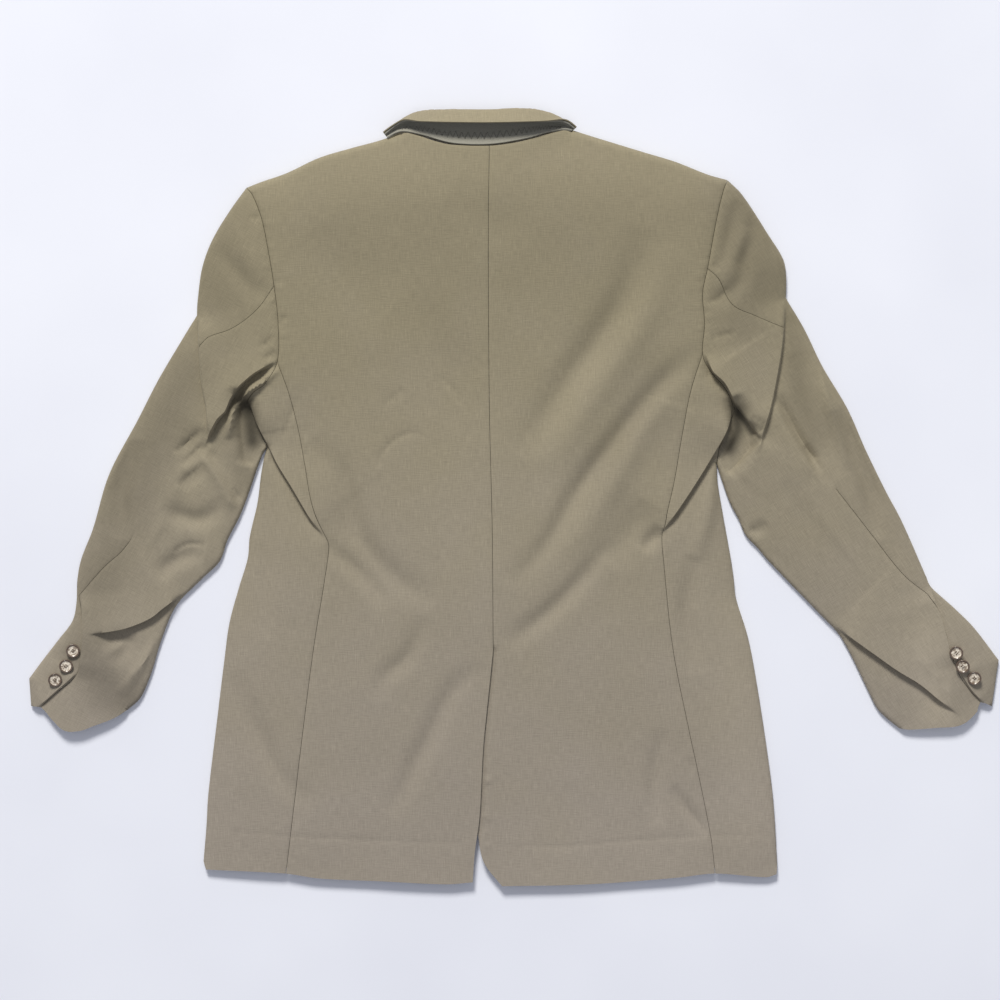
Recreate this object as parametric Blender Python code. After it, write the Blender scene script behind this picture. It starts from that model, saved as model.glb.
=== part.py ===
"""A blazer laid flat, face down, with its back up: +Z up, +Y towards the collar, origin under the middle.

Each cut piece is a closed wall of cloth. All the cloth that faces up follows one height over the table,
cloth_height, so that a fold runs on across a seam. Lengths below are in millimetres.
"""
import math

import bpy
import numpy as np
from mathutils import Vector
from mathutils.geometry import delaunay_2d_cdt

MM = 0.001
WALL = 1.5
SEAM_GAP = 0.36
EDGE_HALF = 3.0
SHOULDER_EDGE_HALF = 7.5
PILLOW_REACH = 30.0
SHOULDER_WRAP = 9.0
UNDERSLEEVE_TURN = 15.0
EDGE_STEP = 15.0
SEAM_STEP = 17.0
GRID_STEP = 23.0
UNDERSIDE_STEP = 70.0
VENT_UNDERLAP_DROP = 3.2
LAYER_RISE = 2.0
BUTTON_DIAMETER = 14.0
BUTTON_HEIGHT = 3.2

PLAN_CENTRE = (1.5, -1.9, 0.0)

CLOTH_COLOUR = (0.262, 0.226, 0.165)
FELT_COLOUR = (0.178, 0.174, 0.144)
HORN_COLOUR = (0.29, 0.20, 0.13)

# Outline and seams in plan, each a list of (x, y) that a smooth curve passes through.
# A point given twice is a corner. LEFT and RIGHT are the two sides of the picture.
LEFT = {
    "shoulder": [(-115, 378), (-135, 370), (-168, 361), (-201, 351), (-235, 335), (-261, 326), (-276, 320)],
    "outer": [(-276, 320), (-276, 320), (-292, 298), (-311, 267), (-322, 238), (-327, 204), (-328, 188),
              (-328, 188), (-345, 160), (-368, 121), (-389, 80), (-419, 23), (-436, -34), (-448, -65),
              (-452, -86), (-453, -110), (-457, -129), (-471, -148), (-488, -170), (-502, -189),
              (-502, -189), (-500, -218)],
    "cuff_hem": [(-500, -218), (-500, -218), (-489, -219), (-477, -232), (-464, -243), (-448, -243),
                 (-434, -238), (-413, -230), (-399, -221)],
    "inner": [(-399, -221), (-387, -210), (-380, -196), (-373, -177), (-368, -159), (-355, -124),
              (-345, -108), (-321, -84), (-304, -67), (-296, -45), (-285, -24), (-279, -10),
              (-271, 12), (-266, 27), (-260, 43), (-256, 51)],
    "side": [(-256, 51), (-261, 24), (-265, -7), (-273, -42), (-275, -64), (-284, -94), (-294, -131),
             (-299, -167), (-307, -233), (-316, -309), (-318, -343), (-321, -379)],
    "hem": [(-321, -379), (-318, -387), (-318, -387), (-235, -391), (-201, -396), (-135, -399),
            (-69, -402), (-41, -400)],
    "armhole": [(-276, 320), (-269, 312), (-259, 287), (-252, 254), (-246, 217), (-242, 180), (-243, 139),
                (-256, 116), (-267, 108), (-276, 98), (-276, 98), (-269, 80), (-263, 64), (-256, 51)],
    "side_back": [(-243, 139), (-232, 109), (-222, 71), (-215, 34), (-207, -9), (-193, -42), (-190, -51),
                  (-194, -84), (-206, -158), (-220, -267), (-232, -367), (-235, -391)],
    "vent": [(-20, -159), (-24, -199), (-30, -258), (-34, -332), (-39, -370), (-41, -400)],
    "upper_sleeve_seam": [(-246, 217), (-262, 195), (-278, 181), (-293, 172), (-315, 164), (-324, 153)],
    "leaf_seam": [(-324, 153), (-321, 98), (-346, 42), (-377, -12), (-394, -43)],
    "lower_sleeve_seam": [(-394, -43), (-405, -57), (-423, -73), (-450, -103)],
    "tab_edge": [(-450, -103), (-447, -138), (-449, -168), (-453, -187), (-471, -203), (-489, -219)],
    "front_armhole": [(-276, 320), (-262, 280), (-238, 220), (-222, 150), (-226, 95), (-256, 51)],
    "front_side": [(-226, 95), (-212, 40), (-206, -10), (-214, -60), (-234, -160), (-252, -270), (-262, -383)],
    "side_hem_under": [(-321, -379), (-262, -383)],
    "front_hem": [(-262, -383), (-180, -390), (-110, -380), (-45, -335), (-8, -270), (-2, -190)],
    "front_edge": [(-2, -190), (-2, -190), (-2, -20)],
    "roll_line": [(-2, -20), (-2, -20), (-70, 200), (-104, 350), (-115, 378)],
    "lapel": [(-35, 62), (-35, 62), (-72, 96), (-128, 190), (-150, 262), (-150, 262), (-104, 282),
              (-104, 282), (-116, 330), (-122, 350), (-122, 350), (-106, 342), (-74, 200), (-35, 62)],
}
RIGHT = {
    "shoulder": [(60, 380.5), (87, 372), (136, 357), (169, 347), (202, 334), (223, 328)],
    "outer": [(223, 328), (223, 328), (238, 313), (265, 272), (281, 246), (284, 230), (284, 206), (284, 206),
              (303, 174), (322, 135), (348, 91), (367, 48), (388, 5), (404, -25), (430, -84), (434, -93),
              (460, -117), (479, -136), (505, -170), (505, -170), (498, -218)],
    "cuff_hem": [(498, -218), (498, -218), (485, -214), (482, -223), (465, -237), (439, -240), (412, -242),
                 (402, -241)],
    "inner": [(402, -241), (386, -228), (378, -219), (369, -201), (348, -158), (337, -141), (320, -123),
              (265, -66), (255, -54), (242, -40), (235, -24), (226, -7), (217, 18), (212, 34)],
    "side": [(212, 34), (213, 15), (219, -21), (227, -66), (230, -87), (232, -105), (244, -144), (252, -184),
             (264, -261), (271, -317), (275, -382)],
    "hem": [(275, -382), (274, -392), (274, -392), (263, -395), (210, -391), (173, -395), (99, -401),
            (54, -403), (-11, -404)],
    "armhole": [(223, 328), (218, 317), (210, 284), (201, 235), (196, 210), (198, 178), (196, 147), (203, 129),
                (217, 113), (230, 90), (230, 90), (229, 82), (219, 58), (212, 34)],
    "side_back": [(196, 147), (184, 109), (176, 68), (167, 15), (155, -39), (156, -65), (166, -158), (183, -244),
                  (193, -290), (206, -356), (210, -391)],
    "vent": [(-11, -404), (-11, -404), (-30, -379), (-36, -351), (-46, -290), (-48, -215), (-21, -164),
             (-20, -159)],
    "upper_sleeve_seam": [(201, 235), (212, 225), (227, 198), (250, 187), (283, 173)],
    "leaf_seam": [(283, 173), (280, 143), (274, 105), (298, 62), (320, 29), (334, 9)],
    "lower_sleeve_seam": [(334, 9), (367, -33), (405, -81), (430, -101)],
    "tab_edge": [(430, -101), (441, -120), (449, -138), (453, -155), (462, -185), (473, -201), (485, -214)],
    "front_armhole": [(223, 328), (212, 280), (192, 220), (178, 150), (182, 90), (212, 34)],
    "front_side": [(182, 90), (168, 30), (160, -10), (168, -60), (184, -160), (203, -270), (216, -385)],
    "side_hem_under": [(275, -382), (216, -385)],
    "front_hem": [(216, -385), (136, -390), (66, -380), (1, -335), (-36, -270), (-42, -190)],
    "front_edge": [(-42, -190), (-42, -190), (-42, -20)],
    "roll_line": [(-42, -20), (-42, -20), (22, 200), (50, 350), (60, 380.5)],
    "lapel": [(10, 0), (10, 0), (36, 60), (78, 190), (100, 262), (100, 262), (54, 284), (54, 284),
              (62, 330), (68, 352), (68, 352), (52, 342), (26, 200), (10, 0)],
}
CENTRE_BACK = [(-24, 362), (-25, 271), (-24, 95), (-21, -35), (-20, -159)]
NECK = [(-115, 378), (-93, 371.5), (-80, 367), (-62, 363), (-24, 362), (1, 365), (24, 370.5), (40, 375.5),
        (60, 380.5)]

# Height of the cloth over the table well inside the outline, by y.
HEIGHTS = [
    # y, height of the body, height of a sleeve
    (-400, 9.0, 11.0),
    (-330, 11.0, 11.0),
    (-220, 14.0, 11.0),
    (-100, 16.0, 13.0),
    (0, 17.0, 15.0),
    (100, 19.0, 18.0),
    (180, 22.0, 22.0),
    (260, 26.0, 26.0),
    (320, 28.0, 28.0),
    (350, 24.0, 24.0),
    (380, 20.0, 20.0),
]

# Soft folds: a trough where the height is negative, a ridge where it is positive.
FOLDS = [
    # name, height, half width, path
    ("right drape 1", -4.5, 16, [(133, 277), (113, 218), (87, 175), (54, 128), (20, 74), (-1, 48)]),
    ("right drape 1 crest", 2.5, 16, [(160, 262), (140, 205), (112, 158), (80, 112), (50, 62), (25, 30)]),
    ("right drape 2", -4.0, 11, [(193, 162), (151, 123), (97, 56), (65, 11), (34, -43), (-9, -90)]),
    ("right drape 2 crest", 2.5, 13, [(180, 128), (140, 90), (112, 38), (84, -10), (52, -60)]),
    ("right waist 1", -3.0, 8, [(151, -29), (131, -54)]),
    ("right waist 2", -3.0, 10, [(100, -42), (48, -102), (-11, -150)]),
    ("right waist 3", -2.5, 16, [(135, -2), (90, -66)]),
    ("right hem 1", -2.0, 9, [(152, -240), (146, -283), (149, -340)]),
    ("right hem 2", -1.2, 7, [(166, -300), (202, -350)]),
    ("right edge ridge", 2.5, 9, [(212, 41), (199, -19), (185, -66)]),
    ("right side trough", -2.5, 10, [(186, -60), (179, -111), (186, -150), (194, -184)]),
    ("left drape 1", -3.5, 13, [(-204, 62), (-180, 29), (-160, -33), (-126, -73), (-77, -105)]),
    ("left drape 2", -2.8, 9, [(-191, -45), (-155, -77), (-126, -113)]),
    ("left waist 1", -2.0, 10, [(-94, -123), (-109, -158), (-132, -180), (-142, -211)]),
    ("left vent", -2.5, 11, [(-32, -168), (-62, -191), (-91, -248), (-118, -303), (-135, -326)]),
    ("left side trough", -2.2, 12, [(-288, -180), (-262, -244), (-241, -283), (-201, -317)]),
    ("left side line", -1.5, 8, [(-251, 28), (-257, -100), (-258, -149)]),
    ("left blade", -1.5, 30, [(-200, 280), (-160, 230), (-120, 200)]),
    ("centre blade", -1.5, 26, [(-60, 320), (-24, 300), (20, 310)]),
    ("left outer trough", -4.0, 11, [(-392, 60), (-407, 11), (-408, -13), (-413, -42)]),
    ("left fan 1", -1.8, 6, [(-322, 71), (-350, 45)]),
    ("left fan 2", -1.6, 6, [(-322, 56), (-343, 32)]),
    ("left fan 3", -1.8, 7, [(-319, 35), (-347, 11)]),
    ("left elbow 1", -3.0, 9, [(-362, -6), (-347, -13), (-324, -17), (-299, 1)]),
    ("left elbow 2", -3.0, 9, [(-372, -80), (-353, -62), (-336, -55), (-318, -58)]),
    ("left elbow ridge", 2.5, 9, [(-314, 53), (-302, 30), (-288, 7), (-279, -9)]),
    ("left head trough", -2.2, 9, [(-282, 233), (-261, 215)]),
    ("left head ridge", 2.0, 10, [(-290, 267), (-266, 228)]),
    ("left cuff ridge", 2.2, 6, [(-367, -142), (-396, -187), (-409, -205)]),
    ("left cuff dent", -3.0, 9, [(-434, -147), (-402, -146), (-420, -172)]),
    ("left armpit hollow", -13.0, 15, [(-262, 124), (-272, 92), (-276, 66), (-284, 34)]),
    ("left armpit band", 7.0, 5, [(-256, 124), (-273, 111), (-284, 101), (-291, 88), (-296, 62)]),
    ("right head trough 1", -2.5, 8, [(229, 307), (225, 287), (217, 252), (204, 243)]),
    ("right head trough 2", -3.0, 9, [(249, 292), (240, 261), (231, 225), (200, 203)]),
    ("right head ridge", 2.0, 8, [(240, 280), (226, 244)]),
    ("right outer ridge 1", 2.0, 6, [(292, 179), (309, 157), (319, 135), (324, 107), (341, 53), (350, 25)]),
    ("right outer trough", -4.5, 11, [(336, 92), (365, 29), (371, 3), (379, -44)]),
    ("right outer trough 2", -3.0, 13, [(294, 150), (306, 110), (326, 60), (340, 20)]),
    ("right crease", -2.4, 6, [(274, 102), (298, 62), (320, 29), (333, 12)]),
    ("right armpit hollow", -13.0, 13, [(214, 112), (236, 72), (232, 50), (218, 34)]),
    ("right elbow corner", -1.8, 7, [(244, -36), (262, -24)]),
]

# Laid-over edges. The cloth on the left of the path stands higher by rise, and falls off over reach.
LAPS = [
    # name, rise, drop on the low side, width of the step, reach, path
    ("left leaf edge", 6.0, 1.5, 4, 45, [(-328, 196), (-327, 162), (-324, 121), (-318, 77), (-315, 48)]),
    ("left leaf mouth", 4.5, 4.0, 4, 30, [(-318, 48), (-299, 82), (-289, 98), (-277, 113), (-257, 131), (-240, 140)]),
    ("left panel edge", 4.0, 3.0, 5, 40, [(-282, 104), (-269, 80), (-256, 53), (-249, 37), (-227, 4), (-210, -29),
                                       (-190, -50)]),
    ("left forearm lap", 4.5, 1.0, 4, 40, [(-440, -146), (-398, -138), (-369, -125), (-338, -103)]),
    ("left cuff lap", 3.5, 0.5, 3, 25, [(-450, -98), (-447, -138), (-449, -168), (-453, -190)]),
    ("left tab lap", 2.5, 1.0, 3, 20, [(-494, -223), (-471, -203), (-453, -187), (-449, -180)]),
    ("right leaf edge", 6.0, 1.5, 4, 45, [(257, 44), (266, 74), (273, 107), (280, 143), (284, 187), (284, 212)]),
    ("right leaf mouth", 4.5, 4.0, 4, 30, [(198, 134), (215, 119), (230, 93), (239, 80), (254, 62), (258, 54)]),
    ("right panel edge", 4.0, 3.0, 5, 40, [(150, -48), (174, -15), (196, 18), (211, 41), (219, 58), (230, 87),
                                        (224, 99), (210, 120)]),
    ("right forearm lap", 4.5, 1.0, 4, 40, [(326, -128), (367, -158), (406, -186), (468, -232)]),
    ("right cuff lap", 3.5, 0.5, 3, 25, [(459, -180), (453, -155), (449, -138), (441, -112), (434, -90)]),
    ("right tab lap", 2.5, 1.0, 3, 20, [(458, -176), (473, -201), (490, -218)]),
]

# The collar stands away from the neck seam and its fall comes back over it, not quite down.
COLLAR_ROWS = [
    # base x, y, z (neck seam), roll x, y, z (the fold at the top), edge x, y, z (free edge of the fall)
    (-129, 375.8, 9, -131.5, 377.3, 8, -128.5, 379.3, 13),
    (-113, 381.6, 12, -112.5, 389.5, 9, -109, 386, 21),
    (-93, 373.6, 19, -94, 395.5, 14, -92, 384, 31),
    (-62, 365.0, 21, -63, 397, 16, -62, 382.5, 36),
    (-24, 363.7, 22, -24, 397, 16, -24, 382, 37),
    (14, 369.7, 21, 13, 398, 16, 14, 383, 36),
    (34, 375.8, 18, 36, 394.5, 13, 35, 384.5, 29),
    (52, 381.0, 12, 54, 387, 9, 51, 387, 20),
    (62.5, 381.6, 8, 64, 382.4, 7, 62, 384, 12),
]
FELT_WALL = 1.4
COLLAR_CLOTH_WALL = 1.2
COLLAR_STATIONS = 23
COLLAR_GAP = 0.7

BUTTONS = [
    # name, x, y
    ("cuff_button_left_1", -473, -190),
    ("cuff_button_left_2", -462, -176),
    ("cuff_button_left_3", -455, -160),
    ("cuff_button_right_1", 477, -188),
    ("cuff_button_right_2", 465, -177),
    ("cuff_button_right_3", 458, -162),
]


def smooth_curve(points, step):
    """A curve through the points, with a sample at each of them. A point given twice is a corner."""
    runs = [[points[0]]]
    for point in points[1:]:
        if point == runs[-1][-1]:
            runs.append([point])
        else:
            runs[-1].append(point)
    samples = []
    for run in [np.array(run, float) for run in runs if len(run) > 1]:
        tangents = np.gradient(run, axis=0)
        tangents /= np.linalg.norm(tangents, axis=1)[:, None]
        for start, end, leave, arrive in zip(run[:-1], run[1:], tangents[:-1], tangents[1:]):
            length = np.linalg.norm(end - start)
            t = np.arange(max(1, round(length / step)))[:, None] / max(1, round(length / step))
            samples.append((2 * t**3 - 3 * t**2 + 1) * start + (t**3 - 2 * t**2 + t) * length * leave
                           + (3 * t**2 - 2 * t**3) * end + (t**3 - t**2) * length * arrive)
    samples.append(np.array([points[-1]], float))
    return np.vstack(samples)


def stretch(curve, start, end):
    """The samples of a curve from the one nearest start to the one nearest end, in that direction."""
    first = int(np.argmin(np.linalg.norm(curve - start, axis=1)))
    last = int(np.argmin(np.linalg.norm(curve - end, axis=1)))
    return curve[first:last + 1] if last >= first else curve[last:first + 1][::-1]


def nearest_on(path, xy):
    """For each point: its distance to the path, the side it is on (left positive) and where along, 0 to 1."""
    starts, ends = path[:-1], path[1:]
    runs = ends - starts
    lengths = np.linalg.norm(runs, axis=1)
    best = np.full(len(xy), 1e9)
    side = np.zeros(len(xy))
    along = np.zeros(len(xy))
    total = lengths.sum()
    before = np.concatenate([[0], np.cumsum(lengths)])
    for index in range(len(starts)):
        offset = xy - starts[index]
        t = np.clip(offset @ runs[index] / lengths[index]**2, 0, 1)
        away = offset - t[:, None] * runs[index]
        distance = np.hypot(away[:, 0], away[:, 1])
        nearer = distance < best - 1e-9
        best = np.where(nearer, distance, best)
        cross = runs[index][0] * offset[:, 1] - runs[index][1] * offset[:, 0]
        side = np.where(nearer, np.sign(cross), side)
        along = np.where(nearer, (before[index] + t * lengths[index]) / total, along)
    return best, side, along


def ramp(value):
    value = np.clip(value, 0, 1)
    return value * value * (3 - 2 * value)


EDGE_NAMES = ("shoulder", "outer", "inner", "side")
CURVES = {}
for side_name, table in (("left", LEFT), ("right", RIGHT)):
    for curve_name, curve_points in table.items():
        curve_step = EDGE_STEP if curve_name in EDGE_NAMES else SEAM_STEP
        CURVES[side_name, curve_name] = smooth_curve(curve_points, curve_step)
CENTRE = smooth_curve(CENTRE_BACK, SEAM_STEP)
NECK_CURVE = smooth_curve(NECK, SEAM_STEP)
BODY_EDGES = [CURVES[side_name, "side"] for side_name in ("left", "right")]
SLEEVE_EDGES = [CURVES[side_name, name] for side_name in ("left", "right") for name in ("outer", "inner")]
SHOULDER_EDGES = [CURVES[side_name, "shoulder"] for side_name in ("left", "right")]
FOLD_PATHS = [(row, smooth_curve(row[3], 9.0)) for row in FOLDS]
LAP_PATHS = [(row, smooth_curve(row[5], 9.0)) for row in LAPS]


def edge_half(xy):
    """Half the thickness of a rolled edge: small along sides and sleeves, thick at the shoulders."""
    return EDGE_HALF + (SHOULDER_EDGE_HALF - EDGE_HALF) * ramp((xy[:, 1] - 180) / 130)


def cloth_height(xy):
    """Height over the table of the outer face of the cloth that faces up."""
    to_body = np.min([nearest_on(edge, xy)[0] for edge in BODY_EDGES], axis=0)
    to_sleeve = np.min([nearest_on(edge, xy)[0] for edge in SLEEVE_EDGES], axis=0)
    to_shoulder = np.min([nearest_on(edge, xy)[0] for edge in SHOULDER_EDGES], axis=0)
    inward = np.minimum(np.minimum(to_body, to_sleeve), to_shoulder)
    half = edge_half(xy)
    table = np.array(HEIGHTS)
    body = np.interp(xy[:, 1], table[:, 0], table[:, 1])
    sleeve = np.interp(xy[:, 1], table[:, 0], table[:, 2])
    full = np.where(to_sleeve < np.minimum(to_body, 40), sleeve, body)
    rolled = half * np.sqrt(1 - np.clip(1 - inward / half, 0, 1)**2)
    height = half + rolled + np.maximum(full - 2 * half, 0) * (1 - np.exp(-inward / PILLOW_REACH))
    relief = np.zeros(len(xy))
    for (_, rise, half_width, _), path in FOLD_PATHS:
        distance, _, along = nearest_on(path, xy)
        taper = np.sqrt(np.clip(np.sin(math.pi * along), 0, 1))
        relief += rise * taper * np.exp(-(distance / half_width)**2)
    for (_, rise, drop, width, reach, _), path in LAP_PATHS:
        distance, side, along = nearest_on(path, xy)
        signed = distance * side
        taper = ramp(along / 0.22) * ramp((1 - along) / 0.22)
        high = rise * np.exp(-np.maximum(signed - width, 0) / reach)
        low = -drop * np.exp(np.minimum(signed, 0) / 8.0)
        relief += taper * (low + (high - low) * ramp(signed / width))
    lowest = np.minimum(height, 2 * half + 1.0)
    return np.maximum(height + relief * ramp(inward / 9.0), np.minimum(lowest, height))


def slopes(height, xy, reach=0.4):
    step_x = np.array([reach, 0])
    step_y = np.array([0, reach])
    return ((height(xy + step_x) - height(xy - step_x)) / (2 * reach),
            (height(xy + step_y) - height(xy - step_y)) / (2 * reach))


def inset(outline, gaps, amount):
    """Moves an outline inwards by amount on each side that has a gap. It runs anticlockwise."""
    moved = outline.copy()
    for index in range(len(outline)):
        before = outline[index] - outline[index - 1]
        after = outline[(index + 1) % len(outline)] - outline[index]
        before = before / np.linalg.norm(before)
        after = after / np.linalg.norm(after)
        left_before = np.array([-before[1], before[0]])
        left_after = np.array([-after[1], after[0]])
        gap_before, gap_after = gaps[index - 1], gaps[index]
        if gap_before and gap_after:
            shift = (left_before + left_after) / max(0.4, 1 + left_before @ left_after)
        elif gap_before:
            shift = after / max(0.4, abs(after @ left_before))
        elif gap_after:
            shift = -before / max(0.4, abs(before @ left_after))
        else:
            continue
        moved[index] = outline[index] + amount * shift
    return moved


def closed_outline(curves):
    """Joins curves end to end into an outline. Each is (samples, has a gap). It ends up anticlockwise."""
    points = np.vstack([samples[:-1] for samples, _ in curves])
    gaps = [gap for samples, gap in curves for _ in samples[:-1]]
    area = np.sum(points[:, 0] * np.roll(points[:, 1], -1) - points[:, 1] * np.roll(points[:, 0], -1))
    if area < 0:
        points = points[::-1]
        gaps = gaps[::-1]
        gaps = gaps[1:] + gaps[:1]
    return inset(points, gaps, SEAM_GAP / 2), gaps


def relief_points():
    """Points that bring out the folds and laps: along each crest, and along the foot and top of each lap."""
    found = []
    for (_, _, half_width, _), path in FOLD_PATHS:
        tangents = np.gradient(path, axis=0)
        tangents /= np.linalg.norm(tangents, axis=1)[:, None]
        across = np.stack([-tangents[:, 1], tangents[:, 0]], axis=1)
        found += [(path[1:-1:1], 0.55 * half_width + 3)]
        if half_width < 15:
            found += [(path[::2] + across[::2] * half_width * side, 7) for side in (1, -1)]
    for (_, _, _, width, _, _), path in LAP_PATHS:
        tangents = np.gradient(path, axis=0)
        tangents /= np.linalg.norm(tangents, axis=1)[:, None]
        across = np.stack([-tangents[:, 1], tangents[:, 0]], axis=1)
        found = [(path, 3.2), (path + across * width, 3.2)] + found
    return found


def fill(outline, gaps, step, details):
    """Triangles inside an outline: its own points, a ring inside each rolled edge, details, then a grid."""
    kept = outline.copy()

    def add(points, apart):
        nonlocal kept
        for point in points:
            if np.min(np.hypot(*(kept - point).T)) > apart:
                kept = np.vstack([kept, point])

    ring = []
    for index, gap in enumerate(gaps):
        if gap or gaps[index - 1]:
            continue
        run = outline[(index + 1) % len(outline)] - outline[index - 1]
        normal = np.array([-run[1], run[0]]) / np.linalg.norm(run)
        ring.append(outline[index] + normal * 0.85 * edge_half(outline[index][None])[0])
    edge_distance = nearest_on(np.vstack([outline, outline[:1]]), np.array(ring or [[0, 0]]))[0]
    add([point for point, gone in zip(ring, edge_distance) if gone > 2.2], 1.6)
    for points, apart in details:
        add(points, apart)
    low, high = outline.min(axis=0), outline.max(axis=0)
    rows = int((high[1] - low[1]) / (step * 0.866)) + 2
    columns = int((high[0] - low[0]) / step) + 2
    grid = [(low[0] + (column + 0.5 * (row % 2)) * step, low[1] + row * step * 0.866)
            for row in range(rows) for column in range(columns)]
    add(np.array(grid), 0.62 * step)
    rim = list(range(len(outline)))
    result = delaunay_2d_cdt([Vector(point) for point in kept], [], [rim], 1, 1e-4)
    origin = [source[0] for source in result[3] if source]
    if len(origin) != len(result[0]):
        raise ValueError("an outline crosses itself")
    triangles = [[origin[corner] for corner in face] for face in result[2]]
    return kept, triangles


def wall_mesh(outer, normals, triangles, thickness):
    """A closed wall: the outer face, the same face moved in, and a strip round each free edge."""
    used = sorted({corner for triangle in triangles for corner in triangle})
    place = {corner: index for index, corner in enumerate(used)}
    outer = outer[used]
    inner = outer - normals[used] * thickness
    faces = [[place[corner] for corner in triangle] for triangle in triangles]
    count = len(used)
    ways = {(face[k], face[(k + 1) % 3]) for face in faces for k in range(3)}
    rim = [(a, b) for a, b in ways if (b, a) not in ways]
    backs = [[corner + count for corner in reversed(face)] for face in faces]
    strips = [[b, a, a + count, b + count] for a, b in sorted(rim)]
    return np.vstack([outer, inner]), faces + backs + strips


def make_object(name, points, faces, material):
    mesh = bpy.data.meshes.new(name)
    mesh.from_pydata([tuple((point - PLAN_CENTRE) * MM) for point in points], [], faces)
    mesh.materials.append(material)
    mesh.shade_smooth()
    mesh.set_sharp_from_angle(angle=math.radians(50))
    piece = bpy.data.objects.new(name, mesh)
    bpy.context.collection.objects.link(piece)
    return piece


def normals_of(height, xy):
    slope_x, slope_y = slopes(height, xy)
    normals = np.stack([-slope_x, -slope_y, np.ones(len(xy))], axis=1)
    return normals / np.linalg.norm(normals, axis=1)[:, None]


def cut_piece(name, material, top=None, under=None, top_height=cloth_height, under_height=None, rows=()):
    """A cut piece: cloth facing up, cloth lying on the table, or both, joined round their rolled edges."""
    points, normals, triangles = [], [], []
    rolled = {}
    count = 0
    for curves, facing in ((top, 1), (under, -1)):
        if curves is None:
            continue
        outline, gaps = closed_outline(curves)
        step = GRID_STEP if facing > 0 else UNDERSIDE_STEP
        details = [(row, 2.0) for row in rows] + (relief_points() if facing > 0 else [])
        plan, faces = fill(outline, gaps, step, details)
        height = top_height if facing > 0 else (under_height or (lambda xy: np.zeros(len(xy))))
        half = edge_half(plan)
        z = height(plan)
        normal = normals_of(height, plan)
        if facing < 0:
            normal = -normal
        normal[:len(outline)] = (0, 0, facing)
        index_of = {}
        for index, point in enumerate(plan):
            edge = index < len(outline) and not (gaps[index] and gaps[index - 1])
            if edge:
                run = outline[(index + 1) % len(outline)] - outline[index - 1]
                outward = np.array([run[1], -run[0], 0]) / np.linalg.norm(run)
                if gaps[index] or gaps[index - 1]:
                    outward = np.array([0, 0, 1.0])
                near = [key for key in rolled if math.hypot(key[0] - point[0], key[1] - point[1]) < 1.2]
                if facing < 0 and near:
                    index_of[index] = rolled[near[0]]
                    continue
                rolled[tuple(point)] = count
                points.append((*point, half[index]))
                normals.append(outward)
            else:
                points.append((*point, z[index]))
                normals.append(normal[index])
            index_of[index] = count
            count += 1
        for face in faces:
            face = face if facing > 0 else face[::-1]
            triangles.append([index_of[corner] for corner in face])
    points, faces = wall_mesh(np.array(points), np.array(normals), triangles, WALL)
    return make_object(name, points, faces, material)


def cloth_material(name, colour, roughness):
    material = bpy.data.materials.new(name)
    material.use_nodes = True
    shader = material.node_tree.nodes["Principled BSDF"]
    shader.inputs["Base Color"].default_value = (*colour, 1)
    shader.inputs["Roughness"].default_value = roughness
    shader.inputs["Metallic"].default_value = 0
    return material


def seam(samples):
    return samples, True


def rolled_edge(samples):
    return samples, False


def moved_in(curve, amount):
    """A curve moved to its left."""
    tangents = np.gradient(curve, axis=0)
    tangents /= np.linalg.norm(tangents, axis=1)[:, None]
    return curve + amount * np.stack([-tangents[:, 1], tangents[:, 0]], axis=1)


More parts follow.
